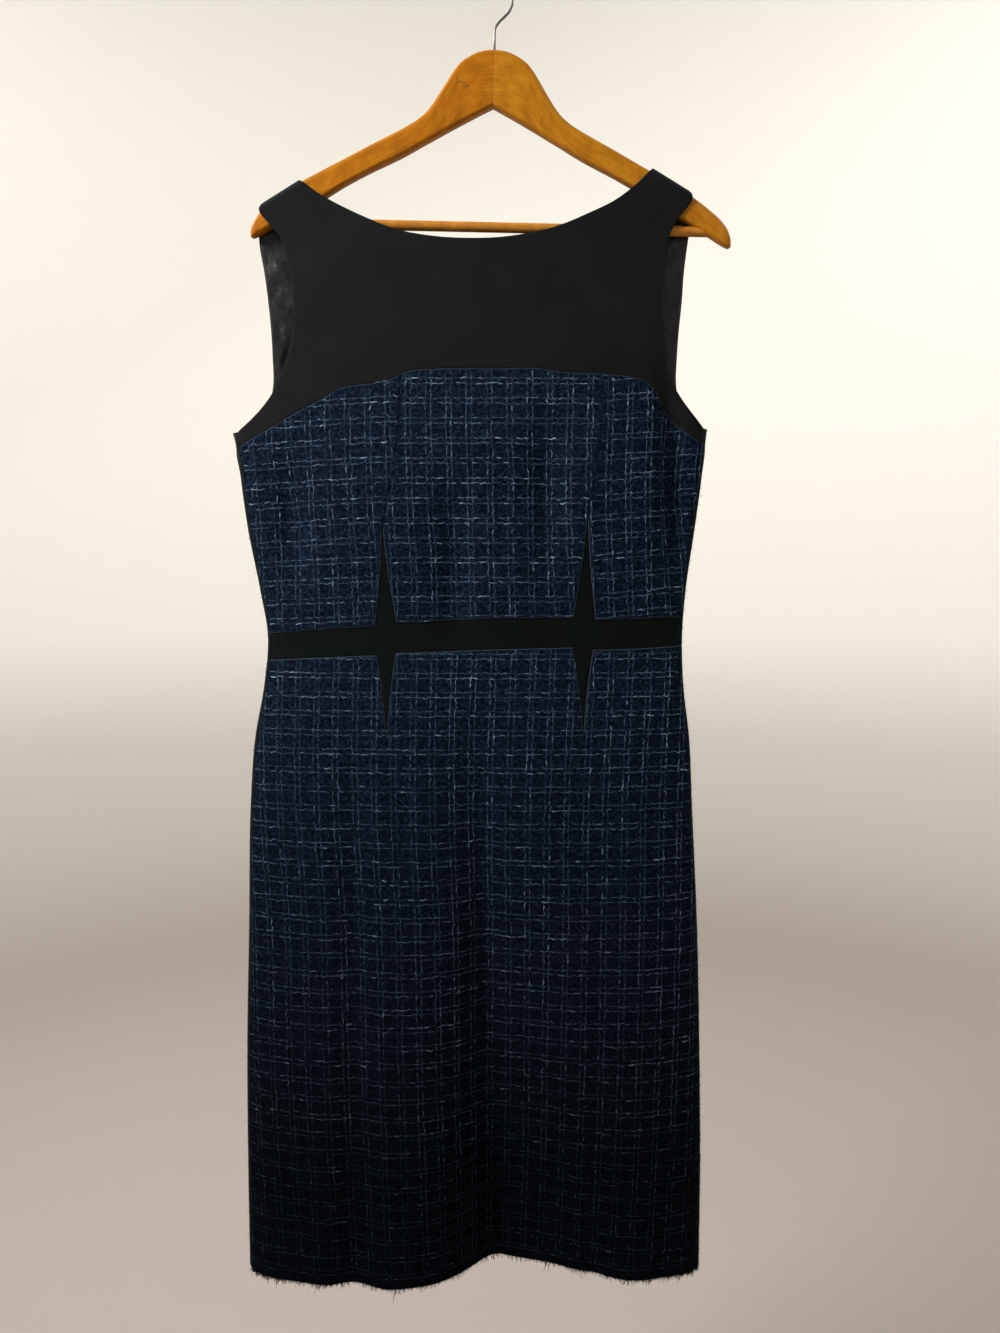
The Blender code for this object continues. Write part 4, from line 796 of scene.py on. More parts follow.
def skirt_patches(band):
    """One piece from side to side, with a notch for each lower point of the waistband."""
    row = {side: LOWER_APEX[side][1] for side in ("left", "right")}
    apexes = [to_turn([LOWER_APEX[side]])[0] for side in ("left", "right")]
    ends = [side_seam(side, [row[side]])[0] for side in ("left", "right")]
    spans = {"left": (ends[0], apexes[0]), "middle": apexes, "right": (apexes[1], ends[1])}
    waist = {
        side: start + (end - start) * shares_along(band[side])[:, None]
        for side, (start, end) in spans.items()
    }
    notches = {side: point_edges(side, False) for side in ("left", "right")}
    edges = {}
    for side, end in (("left", 0), ("right", -1)):
        shares = shares_along(notches[side][0])
        edges[side] = side_seam(side, band[side][end, 1] + (row[side] - band[side][end, 1]) * shares)
    patches = [
        patch(band["left"], waist["left"], edges["left"], notches["left"][0]),
        patch(band["middle"], waist["middle"], notches["left"][1], notches["right"][0]),
        patch(band["right"], waist["right"], notches["right"][1], edges["right"]),
    ]
    line = joined(waist["left"], waist["middle"], waist["right"])
    hem_ends = [side_seam(side, [HEM_Z])[0] for side in ("left", "right")]
    hem = hem_ends[0] + (hem_ends[1] - hem_ends[0]) * shares_along(line)[:, None]
    down = spaced(ROWS_SKIRT, SKIRT_TALL, start=False)
    long_sides = [side_seam(side, row[side] + (HEM_Z - row[side]) * down) for side in ("left", "right")]
    patches.append(patch(line, hem, *long_sides))
    return patches


def rounded_straps(grid, behind):
    """The grid with the straps' outer corners drawn in on a curve, where the edge bends over the arm."""
    grid = grid.copy()
    turn, z = grid[..., 0], grid[..., 1]
    spots = np.stack([ring_middle(z) + ring_half_width(z) * np.sin(turn * math.pi / 2), z], axis=-1)
    for shoulder, armhole in (
        (SHOULDER_LEFT, BACK_ARMHOLE_LEFT if behind else ARMHOLE_LEFT),
        (SHOULDER_RIGHT[::-1], BACK_ARMHOLE_RIGHT if behind else ARMHOLE_RIGHT),
    ):
        corner = np.array(shoulder[0])
        ways = np.stack([np.array(shoulder[1]) - corner, np.array(armhole[1]) - corner])
        ways /= np.linalg.norm(ways, axis=1, keepdims=True)
        near = (spots - corner) @ np.linalg.inv(ways) / STRAP_ROUND
        inside = (near > -0.05).all(axis=-1) & (near < 1).all(axis=-1)
        p, q = np.clip(1 - near[..., 0], 0, 1), np.clip(1 - near[..., 1], 0, 1)
        moved = np.stack([1 - p * np.sqrt(1 - q**2 / 2), 1 - q * np.sqrt(1 - p**2 / 2)], axis=-1)
        spots = np.where(inside[..., None], corner + moved * STRAP_ROUND @ ways, spots)
        turns = turn_at(spots[..., 0], spots[..., 1], behind)
        grid[..., 0] = np.where(inside, turns, grid[..., 0])
        grid[..., 1] = np.where(inside, spots[..., 1], grid[..., 1])
    return grid


# ---------------------------------------------------------------- the cut lines of the back
def back_waist(side, shares):
    """The back waist seam from the middle of the back to the side seam."""
    at_side, at_middle = WAIST_BACK[side]
    end = side_seam(side, [at_side])[0]
    start = np.array([-2.0 if side == "left" else 2.0, at_middle])
    return start + (end - start) * np.asarray(shares)[:, None]


def back_bodice_patch(side):
    """Half of the back, from its middle to its outer edge."""
    armhole = BACK_ARMHOLE_LEFT if side == "left" else BACK_ARMHOLE_RIGHT
    shoulder = SHOULDER_LEFT[::-1] if side == "left" else SHOULDER_RIGHT
    if side == "left":
        half = [spot for spot in NECKLINE_BACK if spot[0] <= BACK_MIDDLE_X][::-1]
    else:
        half = [spot for spot in NECKLINE_BACK if spot[0] >= BACK_MIDDLE_X]
    steps = strap_shares(half)
    shares = np.concatenate([np.linspace(0, 1 - steps[-1], BACK_COLS_NECK + 1), 1 - steps[-2::-1], [1]])
    top = joined(sample(half, shares), sample(shoulder, np.linspace(0, 1, STRAP_COLS + 1)))
    start = np.array([-2.0 if side == "left" else 2.0, top[0, 1]])
    steps = strap_shares(armhole)
    shares = np.concatenate([[0], steps, np.linspace(steps[-1], 1, ROWS_BACK_ARMHOLE + 1)[1:]])
    cut = to_turn(sample(armhole, shares), behind=True)
    heights = np.linspace(UNDERARM_Z[side], WAIST_BACK[side][0], ROWS_BACK_SIDE + 1)
    seam = side_seam(side, heights)
    outer = joined(cut, np.linspace(cut[-1], seam[0], ROWS_BACK_UNDERARM + 1), seam)
    waist = back_waist(side, np.linspace(0, 1, len(top)))
    middle = start + (waist[0] - start) * shares_along(outer)[:, None]
    if side == "left":
        return patch_with_border(top, waist, middle, outer, behind=True)
    return patch_with_border(top[::-1], waist[::-1], outer, middle, behind=True)


def back_skirt_patch(side):
    waist = back_waist(side, np.linspace(0, 1, BACK_COLS_SKIRT + 1))
    hem = np.linspace((waist[0, 0], HEM_Z), side_seam(side, [HEM_Z])[0], BACK_COLS_SKIRT + 1)
    outer = side_seam(side, np.linspace(waist[-1, 1], HEM_Z, ROWS_BACK_SKIRT + 1))
    middle = np.linspace(waist[0], hem[0], ROWS_BACK_SKIRT + 1)
    if side == "left":
        return patch(waist, hem, middle, outer)
    return patch(waist[::-1], hem[::-1], outer, middle)


# ---------------------------------------------------------------- finishes
def linear(code):
    """An sRGB hex value as the linear colour that a shader takes."""
    parts = [int(code[i:i + 2], 16) / 255 for i in (1, 3, 5)]
    return tuple(c / 12.92 if c <= 0.04045 else ((c + 0.055) / 1.055) ** 2.4 for c in parts) + (1.0,)


def node(tree, kind, inputs=None, stops=(), **settings):
    """Adds a node with its settings, its inputs set to values or linked, and its colour stops."""
    made = tree.nodes.new("ShaderNode" + kind)
    for key, value in settings.items():
        setattr(made, key, value)
    for key, value in (inputs or {}).items():
        if isinstance(value, bpy.types.Node):
            value = value.outputs[0]
        if isinstance(value, bpy.types.NodeSocket):
            tree.links.new(value, made.inputs[key])
        else:
            made.inputs[key].default_value = value
    if stops:
        elements = made.color_ramp.elements
        elements[0].position, elements[-1].position = stops[0][0], stops[-1][0]
        for position, _ in stops[1:-1]:
            elements.new(position)
        for element, (_, code) in zip(elements, stops):
            element.color = linear(code)
    return made


def finish_named(name, **values):
    """A new material and its shader, with these values on the shader's own sockets."""
    material = bpy.data.materials.new(name)
    material.use_nodes = True
    shader = material.node_tree.nodes["Principled BSDF"]
    for key, value in values.items():
        shader.inputs[key.replace("_", " ")].default_value = value
    return material, material.node_tree, shader


def per_mm(millimetres):
    """Scale of a pattern laid out in metres whose marks are this far apart."""
    return 1000.0 / millimetres


def shaded_down(tree, colour, height):
    """The colour, deeper towards the hem, where the photo's overhead light hardly reaches."""
    share = node(tree, "MapRange", {"Value": height, "From Min": DARK_Z, "From Max": LIT_Z,
                                    "To Min": HEM_SHADE, "To Max": 1.0})
    return node(tree, "VectorMath", {0: colour, "Scale": share}, operation="SCALE").outputs[0]


def check_line(tree, place, along, repeat, stretch):
    """Where one way's pale yarns lie: a pair in each repeat, thick at slubs and gone where they dip."""
    mm = node(tree, "Math", {0: along, 1: 1000.0}, operation="MULTIPLY")
    fold = node(tree, "Math", {0: mm, 1: repeat / 2}, operation="PINGPONG")
    off = node(tree, "Math", {0: fold, 1: TWEED_PAIR}, operation="SUBTRACT")
    away = node(tree, "Math", {0: off}, operation="ABSOLUTE")
    drawn = node(tree, "VectorMath", {0: place, 1: stretch}, operation="MULTIPLY")
    slub = node(tree, "TexNoise", {"Vector": drawn, "Scale": per_mm(1.1), "Detail": 1.0})
    width = node(tree, "MapRange", {"Value": slub, "From Min": 0.36, "From Max": 0.66, "To Min": 0.05,
                                    "To Max": TWEED_YARN * 2.1})
    thin = node(tree, "Math", {0: away, 1: width}, operation="DIVIDE")
    return node(tree, "MapRange", {"Value": thin, "From Min": 0.45, "From Max": 1.15, "To Min": 1.0,
                                   "To Max": 0.0}, interpolation_type="SMOOTHSTEP")


def tweed():
    """Boucle tweed: loopy wool yarn in very dark navy, woven loosely.

    The eye gets a mottled, nubbly dark ground, and on it a check of paired pale blue slub yarns
    that come and go. No gloss.
    """
    material, tree, shader = finish_named("navy_boucle_tweed", Roughness=0.95, Specular_IOR_Level=0.04)
    place = node(tree, "UVMap", uv_map="flat cloth").outputs[0]
    # The yarns wander by about half a millimetre, over stretches of some 7 mm.
    wander = node(tree, "TexNoise", {"Vector": place, "Scale": per_mm(7), "Detail": 2.0})
    shift = node(tree, "VectorMath", {0: wander.outputs["Color"], 1: (0.5, 0.5, 0.5)}, operation="SUBTRACT")
    scaled = node(tree, "VectorMath", {0: shift, "Scale": 0.0042}, operation="SCALE")
    moved = node(tree, "VectorMath", {0: place, 1: scaled}, operation="ADD")
    axes = node(tree, "SeparateXYZ", {0: moved})
    lines = [
        check_line(tree, place, axes.outputs[0], TWEED_REPEAT_ACROSS, (1, 0.16, 1)),
        check_line(tree, place, axes.outputs[1], TWEED_REPEAT_UP, (0.16, 1, 1)),
    ]
    either = node(tree, "Math", {0: lines[0], 1: lines[1]}, operation="MAXIMUM")
    height = node(tree, "SeparateXYZ", {0: place}).outputs[1]
    # The threads made as meshes carry most of the check: the woven-in lines are at a third of their
    # strength, and gone along the frayed hem.
    frayed = node(tree, "MapRange", {"Value": height, "From Min": HEM_Z + 0.006, "From Max": HEM_Z + 0.012,
                                     "To Max": 0.35})
    both = node(tree, "Math", {0: either, 1: frayed}, operation="MULTIPLY")
    # The nubs of the ground: loops about 1.7 mm across, in blotches of 3.6 mm.
    nubs = node(tree, "TexVoronoi", {"Vector": moved, "Scale": per_mm(1.7), "Randomness": 0.9})
    blotches = node(tree, "TexNoise", {"Vector": place, "Scale": per_mm(3.6), "Detail": 4.0,
                                       "Roughness": 0.75})
    ground = node(tree, "ValToRGB", {0: blotches}, ((0.34, "#02040a"), (0.5, "#0b1524"), (0.68, "#223348")))
    # Painted light and shade: the top of each loop is painted lighter than its foot, for the light it
    # catches.
    painted_loop_light = node(tree, "MapRange", {"Value": nubs.outputs["Distance"], "From Min": 0.0, "From Max": 0.9,
                                    "To Min": 1.35, "To Max": 0.55})
    lit = node(tree, "VectorMath", {0: ground, "Scale": painted_loop_light}, operation="SCALE")
    tint = node(tree, "TexNoise", {"Vector": place, "Scale": per_mm(2.3), "Detail": 2.0})
    paleness = node(tree, "ValToRGB", {0: tint}, ((0.35, "#17222e"), (0.70, "#3c4e60")))
    colour = node(tree, "Mix", {"Factor": both, "A": lit, "B": paleness}, data_type="RGBA")
    # Where the tweed is turned in beside the black band its edge is worn to grey.
    edge = node(tree, "Attribute", attribute_name="beside_edge")
    worn = node(tree, "MapRange", {"Value": edge.outputs["Fac"], "From Min": 0.3, "From Max": 1.5,
                                   "To Min": 0.75, "To Max": 0.0}, interpolation_type="SMOOTHSTEP")
    final = node(tree, "Mix", {"Factor": worn, "A": colour.outputs[2], "B": linear("#343a44")},
                 data_type="RGBA")
    tree.links.new(shaded_down(tree, final.outputs[2], height), shader.inputs["Base Color"])
    loops = node(tree, "Math", {0: nubs.outputs["Distance"], 1: -0.6}, operation="MULTIPLY")
    raised = node(tree, "Math", {0: both, 1: loops}, operation="ADD")
    bump = node(tree, "Bump", {"Height": raised, "Strength": 0.9, "Distance": 0.0009})
    tree.links.new(bump.outputs[0], shader.inputs["Normal"])
    return material


def yarn(name, dark, middle, pale):
    """Soft-spun wool yarn, uneven and hairy, each length of it dyed its own tone.

    The eye gets dull dashes and curls that stand out singly from the ground.
    """
    material, tree, shader = finish_named(name, Roughness=0.95, Specular_IOR_Level=0.04)
    tone = node(tree, "Attribute", attribute_name="tone")
    colour = node(tree, "ValToRGB", {0: tone.outputs["Fac"]}, ((0.0, dark), (0.5, middle), (1.0, pale)))
    place = node(tree, "TexCoord").outputs["Object"]
    height = node(tree, "SeparateXYZ", {0: place}).outputs[2]
    tree.links.new(shaded_down(tree, colour.outputs[0], height), shader.inputs["Base Color"])
    return material


def crepe(name, colour):
    """Wool crepe: highly twisted yarn in a broken weave, piece-dyed near-black.

    The eye gets a dead-matt surface with a fine dry grain, a little cloudy.
    """
    material, tree, shader = finish_named(name, Roughness=0.85, Sheen_Weight=0.01, Specular_IOR_Level=0.08)
    place = node(tree, "UVMap", uv_map="flat cloth").outputs[0]
    # The real grain is about 0.5 mm; it is drawn at 0.8 mm so that it shows.
    grain = node(tree, "TexNoise", {"Vector": place, "Scale": per_mm(0.8), "Detail": 2.0})
    cloudy = node(tree, "TexNoise", {"Vector": place, "Scale": per_mm(45), "Detail": 2.0})
    shade = node(tree, "Math", {0: grain, 1: 0.5}, operation="MULTIPLY")
    total = node(tree, "Math", {0: cloudy, 1: shade}, operation="ADD")
    bright = node(tree, "MapRange", {"Value": total, "From Min": 0.5, "From Max": 1.0, "To Min": 0.82,
                                     "To Max": 1.2})
    tone = node(tree, "VectorMath", {0: linear(colour)[:3], "Scale": bright}, operation="SCALE")
    tree.links.new(tone.outputs[0], shader.inputs["Base Color"])
    bump = node(tree, "Bump", {"Height": grain, "Strength": 0.35, "Distance": 0.0003})
    tree.links.new(bump.outputs[0], shader.inputs["Normal"])
    return material


def satin():
    """Acetate lining satin: smooth filament yarns that float, dyed black.

    The eye gets a soft grey gloss that runs and breaks over small creases.
    """
    material, tree, shader = finish_named("black_lining_satin", Roughness=0.40, Specular_IOR_Level=0.35)
    place = node(tree, "UVMap", uv_map="flat cloth").outputs[0]
    cloudy = node(tree, "TexNoise", {"Vector": place, "Scale": per_mm(22), "Detail": 3.0})
    tone = node(tree, "ValToRGB", {0: cloudy}, ((0.38, "#08080a"), (0.62, "#1a1a1d")))
    tree.links.new(tone.outputs[0], shader.inputs["Base Color"])
    crush = node(tree, "TexNoise", {"Vector": place, "Scale": per_mm(9), "Detail": 4.0})
    bump = node(tree, "Bump", {"Height": crush, "Strength": 0.8, "Distance": 0.0016})
    tree.links.new(bump.outputs[0], shader.inputs["Normal"])
    return material


def varnished_wood(name, pale, deep):
    """Beech, sanded and dipped in amber varnish.

    The eye gets a golden brown with short dark pores along the grain, a soft cloudiness and a clear
    gloss over it all.
    """
    material, tree, shader = finish_named(name, Roughness=0.5, Specular_IOR_Level=0.05, Coat_Weight=0.15,
                                          Coat_Roughness=0.2)
    place = node(tree, "UVMap", uv_map="grain").outputs[0]
    # Grain lines some 1.6 mm apart and twenty times as long; pores 0.7 by 5 mm.
    along = node(tree, "VectorMath", {0: place, 1: (0.05, 1, 1)}, operation="MULTIPLY")
    lines = node(tree, "TexNoise", {"Vector": along, "Scale": per_mm(1.6), "Detail": 3.0, "Distortion": 0.4})
    cloudy = node(tree, "TexNoise", {"Vector": place, "Scale": per_mm(14), "Detail": 2.0})
    mixed = node(tree, "Math", {0: lines, 1: cloudy}, operation="ADD")
    half = node(tree, "Math", {0: mixed, 1: 0.5}, operation="MULTIPLY")
    tone = node(tree, "ValToRGB", {0: half}, ((0.36, deep), (0.62, pale)))
    short = node(tree, "VectorMath", {0: place, 1: (0.14, 1, 1)}, operation="MULTIPLY")
    pores = node(tree, "TexNoise", {"Vector": short, "Scale": per_mm(0.7), "Detail": 1.0})
    pore = node(tree, "MapRange", {"Value": pores, "From Min": 0.62, "From Max": 0.72, "To Min": 0.0,
                                   "To Max": 0.45})
    colour = node(tree, "Mix", {"Factor": pore, "A": tone, "B": linear("#5a2f08")}, data_type="RGBA")
    tree.links.new(colour.outputs[2], shader.inputs["Base Color"])
    bump = node(tree, "Bump", {"Height": lines, "Strength": 0.12, "Distance": 0.0003})
    tree.links.new(bump.outputs[0], shader.inputs["Normal"])
    return material


def steel():
    """Mild steel wire and a small cast slider, dulled by handling.

    The eye gets a dark grey-brown metal with a soft, uneven gloss.
    """
    material, tree, shader = finish_named("dull_steel", Metallic=1.0, Base_Color=linear("#6c6a68"))
    place = node(tree, "TexCoord").outputs["Object"]
    rubbed = node(tree, "TexNoise", {"Vector": place, "Scale": per_mm(2.5), "Detail": 3.0})
    rough = node(tree, "MapRange", {"Value": rubbed, "From Min": 0.35, "From Max": 0.65, "To Min": 0.3,
                                    "To Max": 0.5})
    tree.links.new(rough.outputs[0], shader.inputs["Roughness"])
    bump = node(tree, "Bump", {"Height": rubbed, "Strength": 0.15, "Distance": 0.0001})
    tree.links.new(bump.outputs[0], shader.inputs["Normal"])
    return material


# ---------------------------------------------------------------- the hanger
def tilted(points):
    """Points of the hanger as it hangs, turned about the hook's top."""
    x, y, z = np.asarray(points, float).T
    c, s = math.cos(HANGER_TILT), math.sin(HANGER_TILT)
    return np.stack([x * c + z * s, y, z * c - x * s], axis=1)


def arm_section(top, bottom, slope, half):
    """(y, z) round one upright slice of an arm, from the top middle down its right side."""
    tall = top - bottom
    stretch = math.sqrt(1 + slope**2)
    upper = min(ARM_ROUND, tall * 0.45 / stretch)
    lower = min(ARM_LOWER_ROUND, tall * 0.35 / stretch)
    wide, low = min(ARM_ROUND, half), min(lower, half)
    side = [(0.0, top)]
    for angle in np.radians(np.linspace(90, 0, 10)):
        side.append((half - wide + wide * math.cos(angle), top - upper * stretch * (1 - math.sin(angle))))
    z_from, z_to = side[-1][1], bottom + lower * stretch
    side.extend((half, z_from + (z_to - z_from) * i / 6) for i in range(1, 6))
    for angle in np.radians(np.linspace(0, 90, 6)):
        side.append((half - low + low * math.cos(angle), bottom + lower * stretch * (1 - math.sin(angle))))
    side.append((0.0, bottom))
    return np.array(side)


def ring_faces(rings, sides):
    """Cells between neighbouring rings of spots, then a cap on either end."""
    faces = []
    for start in range(0, (rings - 1) * sides, sides):
        for j in range(sides):
            k = (j + 1) % sides
            faces.append((start + j, start + k, start + sides + k, start + sides + j))
    faces.append(tuple(range(sides))[::-1])
    faces.append(tuple(range((rings - 1) * sides, rings * sides)))
    return faces


def make_arm(side, material):
    sign = -1 if side == "left" else 1
    knots, tops, bottoms = (column(ARM_STATIONS, ARM_COLUMNS, name) for name in ARM_COLUMNS)
    slopes = np.clip(np.gradient(tops, knots), -1.2, 0)
    tip = knots[-1]
    stations = np.concatenate([
        knots[0] + np.array([0, 0.0002, 0.0006]),
        np.linspace(0.002, tip - TIP_ROUND - 0.001, ARM_SLICES),
        tip - TIP_ROUND * (1 - np.sin(np.linspace(0.25, math.pi / 2, 9))),
    ])
    vertices, spots = [], []
    before, along = None, 0.0
    for x in stations:
        top, bottom = spline(knots, tops, x), spline(knots, bottoms, x)
        slope = float(np.interp(x, knots, slopes))
        end = np.clip((tip - x) / TIP_ROUND, 0, 1)
        half = ARM_HALF_THICKNESS * max(math.sqrt(1 - (1 - end) ** 2), 0.12)
        half -= max(0.0, MITRE_EASE - (x - knots[0]))
        section = arm_section(top, bottom, slope, half)
        if before is not None:
            along += math.hypot(x - before[0], (top + bottom) / 2 - before[1])
        before = (x, (top + bottom) / 2)
        down = distances(section)
        for y_sign in (1, -1):
            ring_points = section if y_sign == 1 else section[-2:0:-1]
            ring_down = down if y_sign == 1 else down[-2:0:-1]
            for (y, z), far in zip(ring_points, ring_down):
                vertices.append((sign * (x - knots[0]), y_sign * y, z))
                spots.append((along, far))
    faces = ring_faces(len(stations), len(vertices) // len(stations))
    if sign > 0:
        faces = [face[::-1] for face in faces]
    arm = new_object(f"arm_{side}", tilted(vertices), faces, material)
    give_map(arm.data, "grain", spots)
    return arm


def tube(route, radius, sides):
    """Vertices, faces and (along, around) spots of a round tube along a line of points."""
    route = np.asarray(route, float)
    radius = np.broadcast_to(radius, len(route))
    ahead = np.gradient(route, axis=0)
    ahead /= np.linalg.norm(ahead, axis=1, keepdims=True)
    level = np.array([0.0, 1.0, 0.0]) if abs(ahead[0, 1]) < 0.9 else np.array([1.0, 0.0, 0.0])
    vertices, spots = [], []
    lengths = np.concatenate([[0], np.cumsum(np.linalg.norm(np.diff(route, axis=0), axis=1))])
    for point, way, thick, far in zip(route, ahead, radius, lengths):
        level = level - way * np.dot(level, way)
        level /= np.linalg.norm(level)
        other = np.cross(way, level)
        for i in range(sides):
            angle = 2 * math.pi * i / sides
            vertices.append(point + thick * (level * math.cos(angle) + other * math.sin(angle)))
            spots.append((far, thick * abs((angle + math.pi) % (2 * math.pi) - math.pi)))
    return np.array(vertices), ring_faces(len(route), sides), spots


def make_bar(material):
    xs = np.linspace(-BAR_HALF_LENGTH, BAR_HALF_LENGTH, BAR_SLICES)
    vertices, faces, spots = tube([(x, 0, BAR_Z) for x in xs], BAR_RADIUS, 32)
    bar = new_object("bar", tilted(vertices), faces, material)
    give_map(bar.data, "grain", spots)
    return bar


def make_crack():
    """Hairline cracks in the varnish, lying in the arm's front face."""
    material = finish_named("dark_varnish_crack", Roughness=0.7, Base_Color=linear("#2c1404"))[0]
    for number, line in enumerate(CRACKS):
        line = rounded(line, 4)
        thick = CRACK_HALF_WIDTH * np.sin(math.pi * (0.05 + 0.9 * np.linspace(0, 1, len(line)))) ** 0.5
        route = [(x, CRACK_HALF_WIDTH * CRACK_SUNK - ARM_HALF_THICKNESS, z) for x, z in line]
        vertices, faces = tube(route, thick, 6)[:2]
        crack = new_object(f"varnish_crack_{number}", vertices, faces, material)
        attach(crack, DRESS)


def make_hook(material):
    """Steel wire: a shank in the wood, a bend to the right, then the arc over the top."""
    middle = -HOOK_INSIDE_RADIUS
    radius = HOOK_INSIDE_RADIUS + WIRE_RADIUS
    route = [HOOK_SHANK[0], *rounded(HOOK_SHANK[1:], 8)]
    for angle in np.arange(0, HOOK_SWEEP, HOOK_STEP / 4):
        route.append((radius * math.cos(angle), middle + radius * math.sin(angle)))
    thick = np.full(len(route), WIRE_RADIUS)
    thick[-3:] = WIRE_RADIUS * np.array([0.98, 0.85, 0.45])
    vertices, faces = tube([(x, 0, z) for x, z in route], thick, 16)[:2]
    return new_object("hook", tilted(vertices), faces, material)


# ---------------------------------------------------------------- yarns of the tweed
def turn_of(across, z):
    """The turn of each spot this far across the flat cloth at this height."""
    heights, turns, far = ACROSS
    row = np.interp(z, heights, np.arange(len(heights)))
    below = np.clip(row.astype(int), 0, len(heights) - 2)
    found = np.empty(len(across))
    for r in np.unique(below):
        here = below == r
        part = row[here] - r
        low, high = (np.interp(across[here], far[r + i], turns) for i in (0, 1))
        found[here] = low * (1 - part) + high * part
    return found


def is_inside(spots, edges):
    """Which flat spots lie inside the outline that these edges make."""
    inside = np.zeros(len(spots), bool)
    for (ax, ay), (bx, by) in edges:
        spans = (ay > spots[:, 1]) != (by > spots[:, 1])
        at = ax + (spots[:, 1] - ay) * (bx - ax) / (by - ay if by != ay else 1)
        inside ^= spans & (spots[:, 0] < at)
    return inside


def bundle(name, points, radii, tones, material, sides=3):
    """Many short tapered tubes as one object. points is (tube, point, xyz)."""
    ahead = np.gradient(points, axis=1)
    ahead /= np.linalg.norm(ahead, axis=2, keepdims=True) + 1e-12
    level = np.cross(ahead, (0.31, -0.87, 0.38))
    level /= np.linalg.norm(level, axis=2, keepdims=True) + 1e-12
    other = np.cross(ahead, level)
    angles = 2 * math.pi * np.arange(sides)[:, None] / sides
    around = level[:, :, None] * np.cos(angles) + other[:, :, None] * np.sin(angles)
    rings = points[:, :, None] + radii[:, :, None, None] * around
    ids = np.arange(rings[..., 0].size).reshape(rings.shape[:3])
    one, two = ids[:, :-1], ids[:, 1:]
    quads = np.stack([one, np.roll(one, -1, axis=2), np.roll(two, -1, axis=2), two], axis=-1)
    faces = quads.reshape(-1, 4).tolist() + ids[:, 0, ::-1].tolist() + ids[:, -1].tolist()
    obj = new_object(name, rings.reshape(-1, 3), faces, material)
    give_value(obj.data, "tone", np.repeat(tones, points.shape[1] * sides))
    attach(obj, DRESS)
    return obj


def on_cloth(flat, rise):
    """Places in space over these flat spots, (tube, point, 2), standing this high off the cloth."""
    spots = flat.reshape(-1, 2)
    turns = turn_of(spots[:, 0], spots[:, 1])
    surface = cloth_point(turns, spots[:, 1])
    normals = cloth_normal(turns, spots[:, 1])
    return (surface + normals * rise.reshape(-1, 1)).reshape(*flat.shape[:2], 3)


def stitches(direction, box, draw):
    """The floats of the check's pale yarns one way over a box of flat cloth.

    Gives flat points, radii and tones. A yarn shows for a few millimetres, dips under and comes up
    again, now thin, now a slub, and crinkles all the way.
    """
    (low_x, low_y), (high_x, high_y) = box
    start, end, low, high, repeat = low_x, high_x, low_y, high_y, TWEED_REPEAT_UP / 1000
    if direction == "up":
        start, end, low, high, repeat = low_y, high_y, low_x, high_x, TWEED_REPEAT_ACROSS / 1000
    shares = np.linspace(0, 1, YARN_POINTS)
    body = np.sin(math.pi * (0.10 + 0.80 * shares)) ** 0.5
    flats, radii, tones = [], [], []
    for pair in range(math.floor(low / repeat), math.ceil(high / repeat) + 1):
        for side in (-1, 1):
            level = pair * repeat + side * TWEED_PAIR / 1000
            phases = draw.uniform(0, 2 * math.pi, 3)
            strength = draw.uniform(0.7, 1.15)
            at = start + draw.uniform(-0.004, 0)
            while at < end:
                kind = SLUB if draw.random() < SLUB_SHARE else YARN
                length = draw.uniform(*kind["length"])
                along = at + length * shares
                drift = sum(
                    YARN_DRIFT * np.sin(along * wave + phase) for wave, phase in zip(DRIFT_WAVES, phases)
                )
                crinkle = draw.normal(0, kind["crinkle"], YARN_POINTS)
                off = level + drift + draw.normal(0, YARN_STRAY) + crinkle
                flats.append(np.stack([along, off] if direction == "across" else [off, along], axis=1))
                thick = draw.uniform(*kind["radius"])
                radii.append(thick * body * draw.uniform(0.75, 1.2, YARN_POINTS))
                tones.append(min(strength * draw.uniform(*kind["tone"]), 1.0))
                dip = LONG_DIP if draw.random() < DIP_SHARE else SHORT_DIP
                at += length + draw.uniform(*dip)
    return np.array(flats), np.array(radii), np.array(tones)


def sheared(flat, lean, pivot):
    """Flat spots with the cloth's level threads sloped by an angle about one spot."""
    return flat + np.stack([flat[..., 0] * 0, (flat[..., 0] - pivot) * math.tan(lean)], axis=-1)


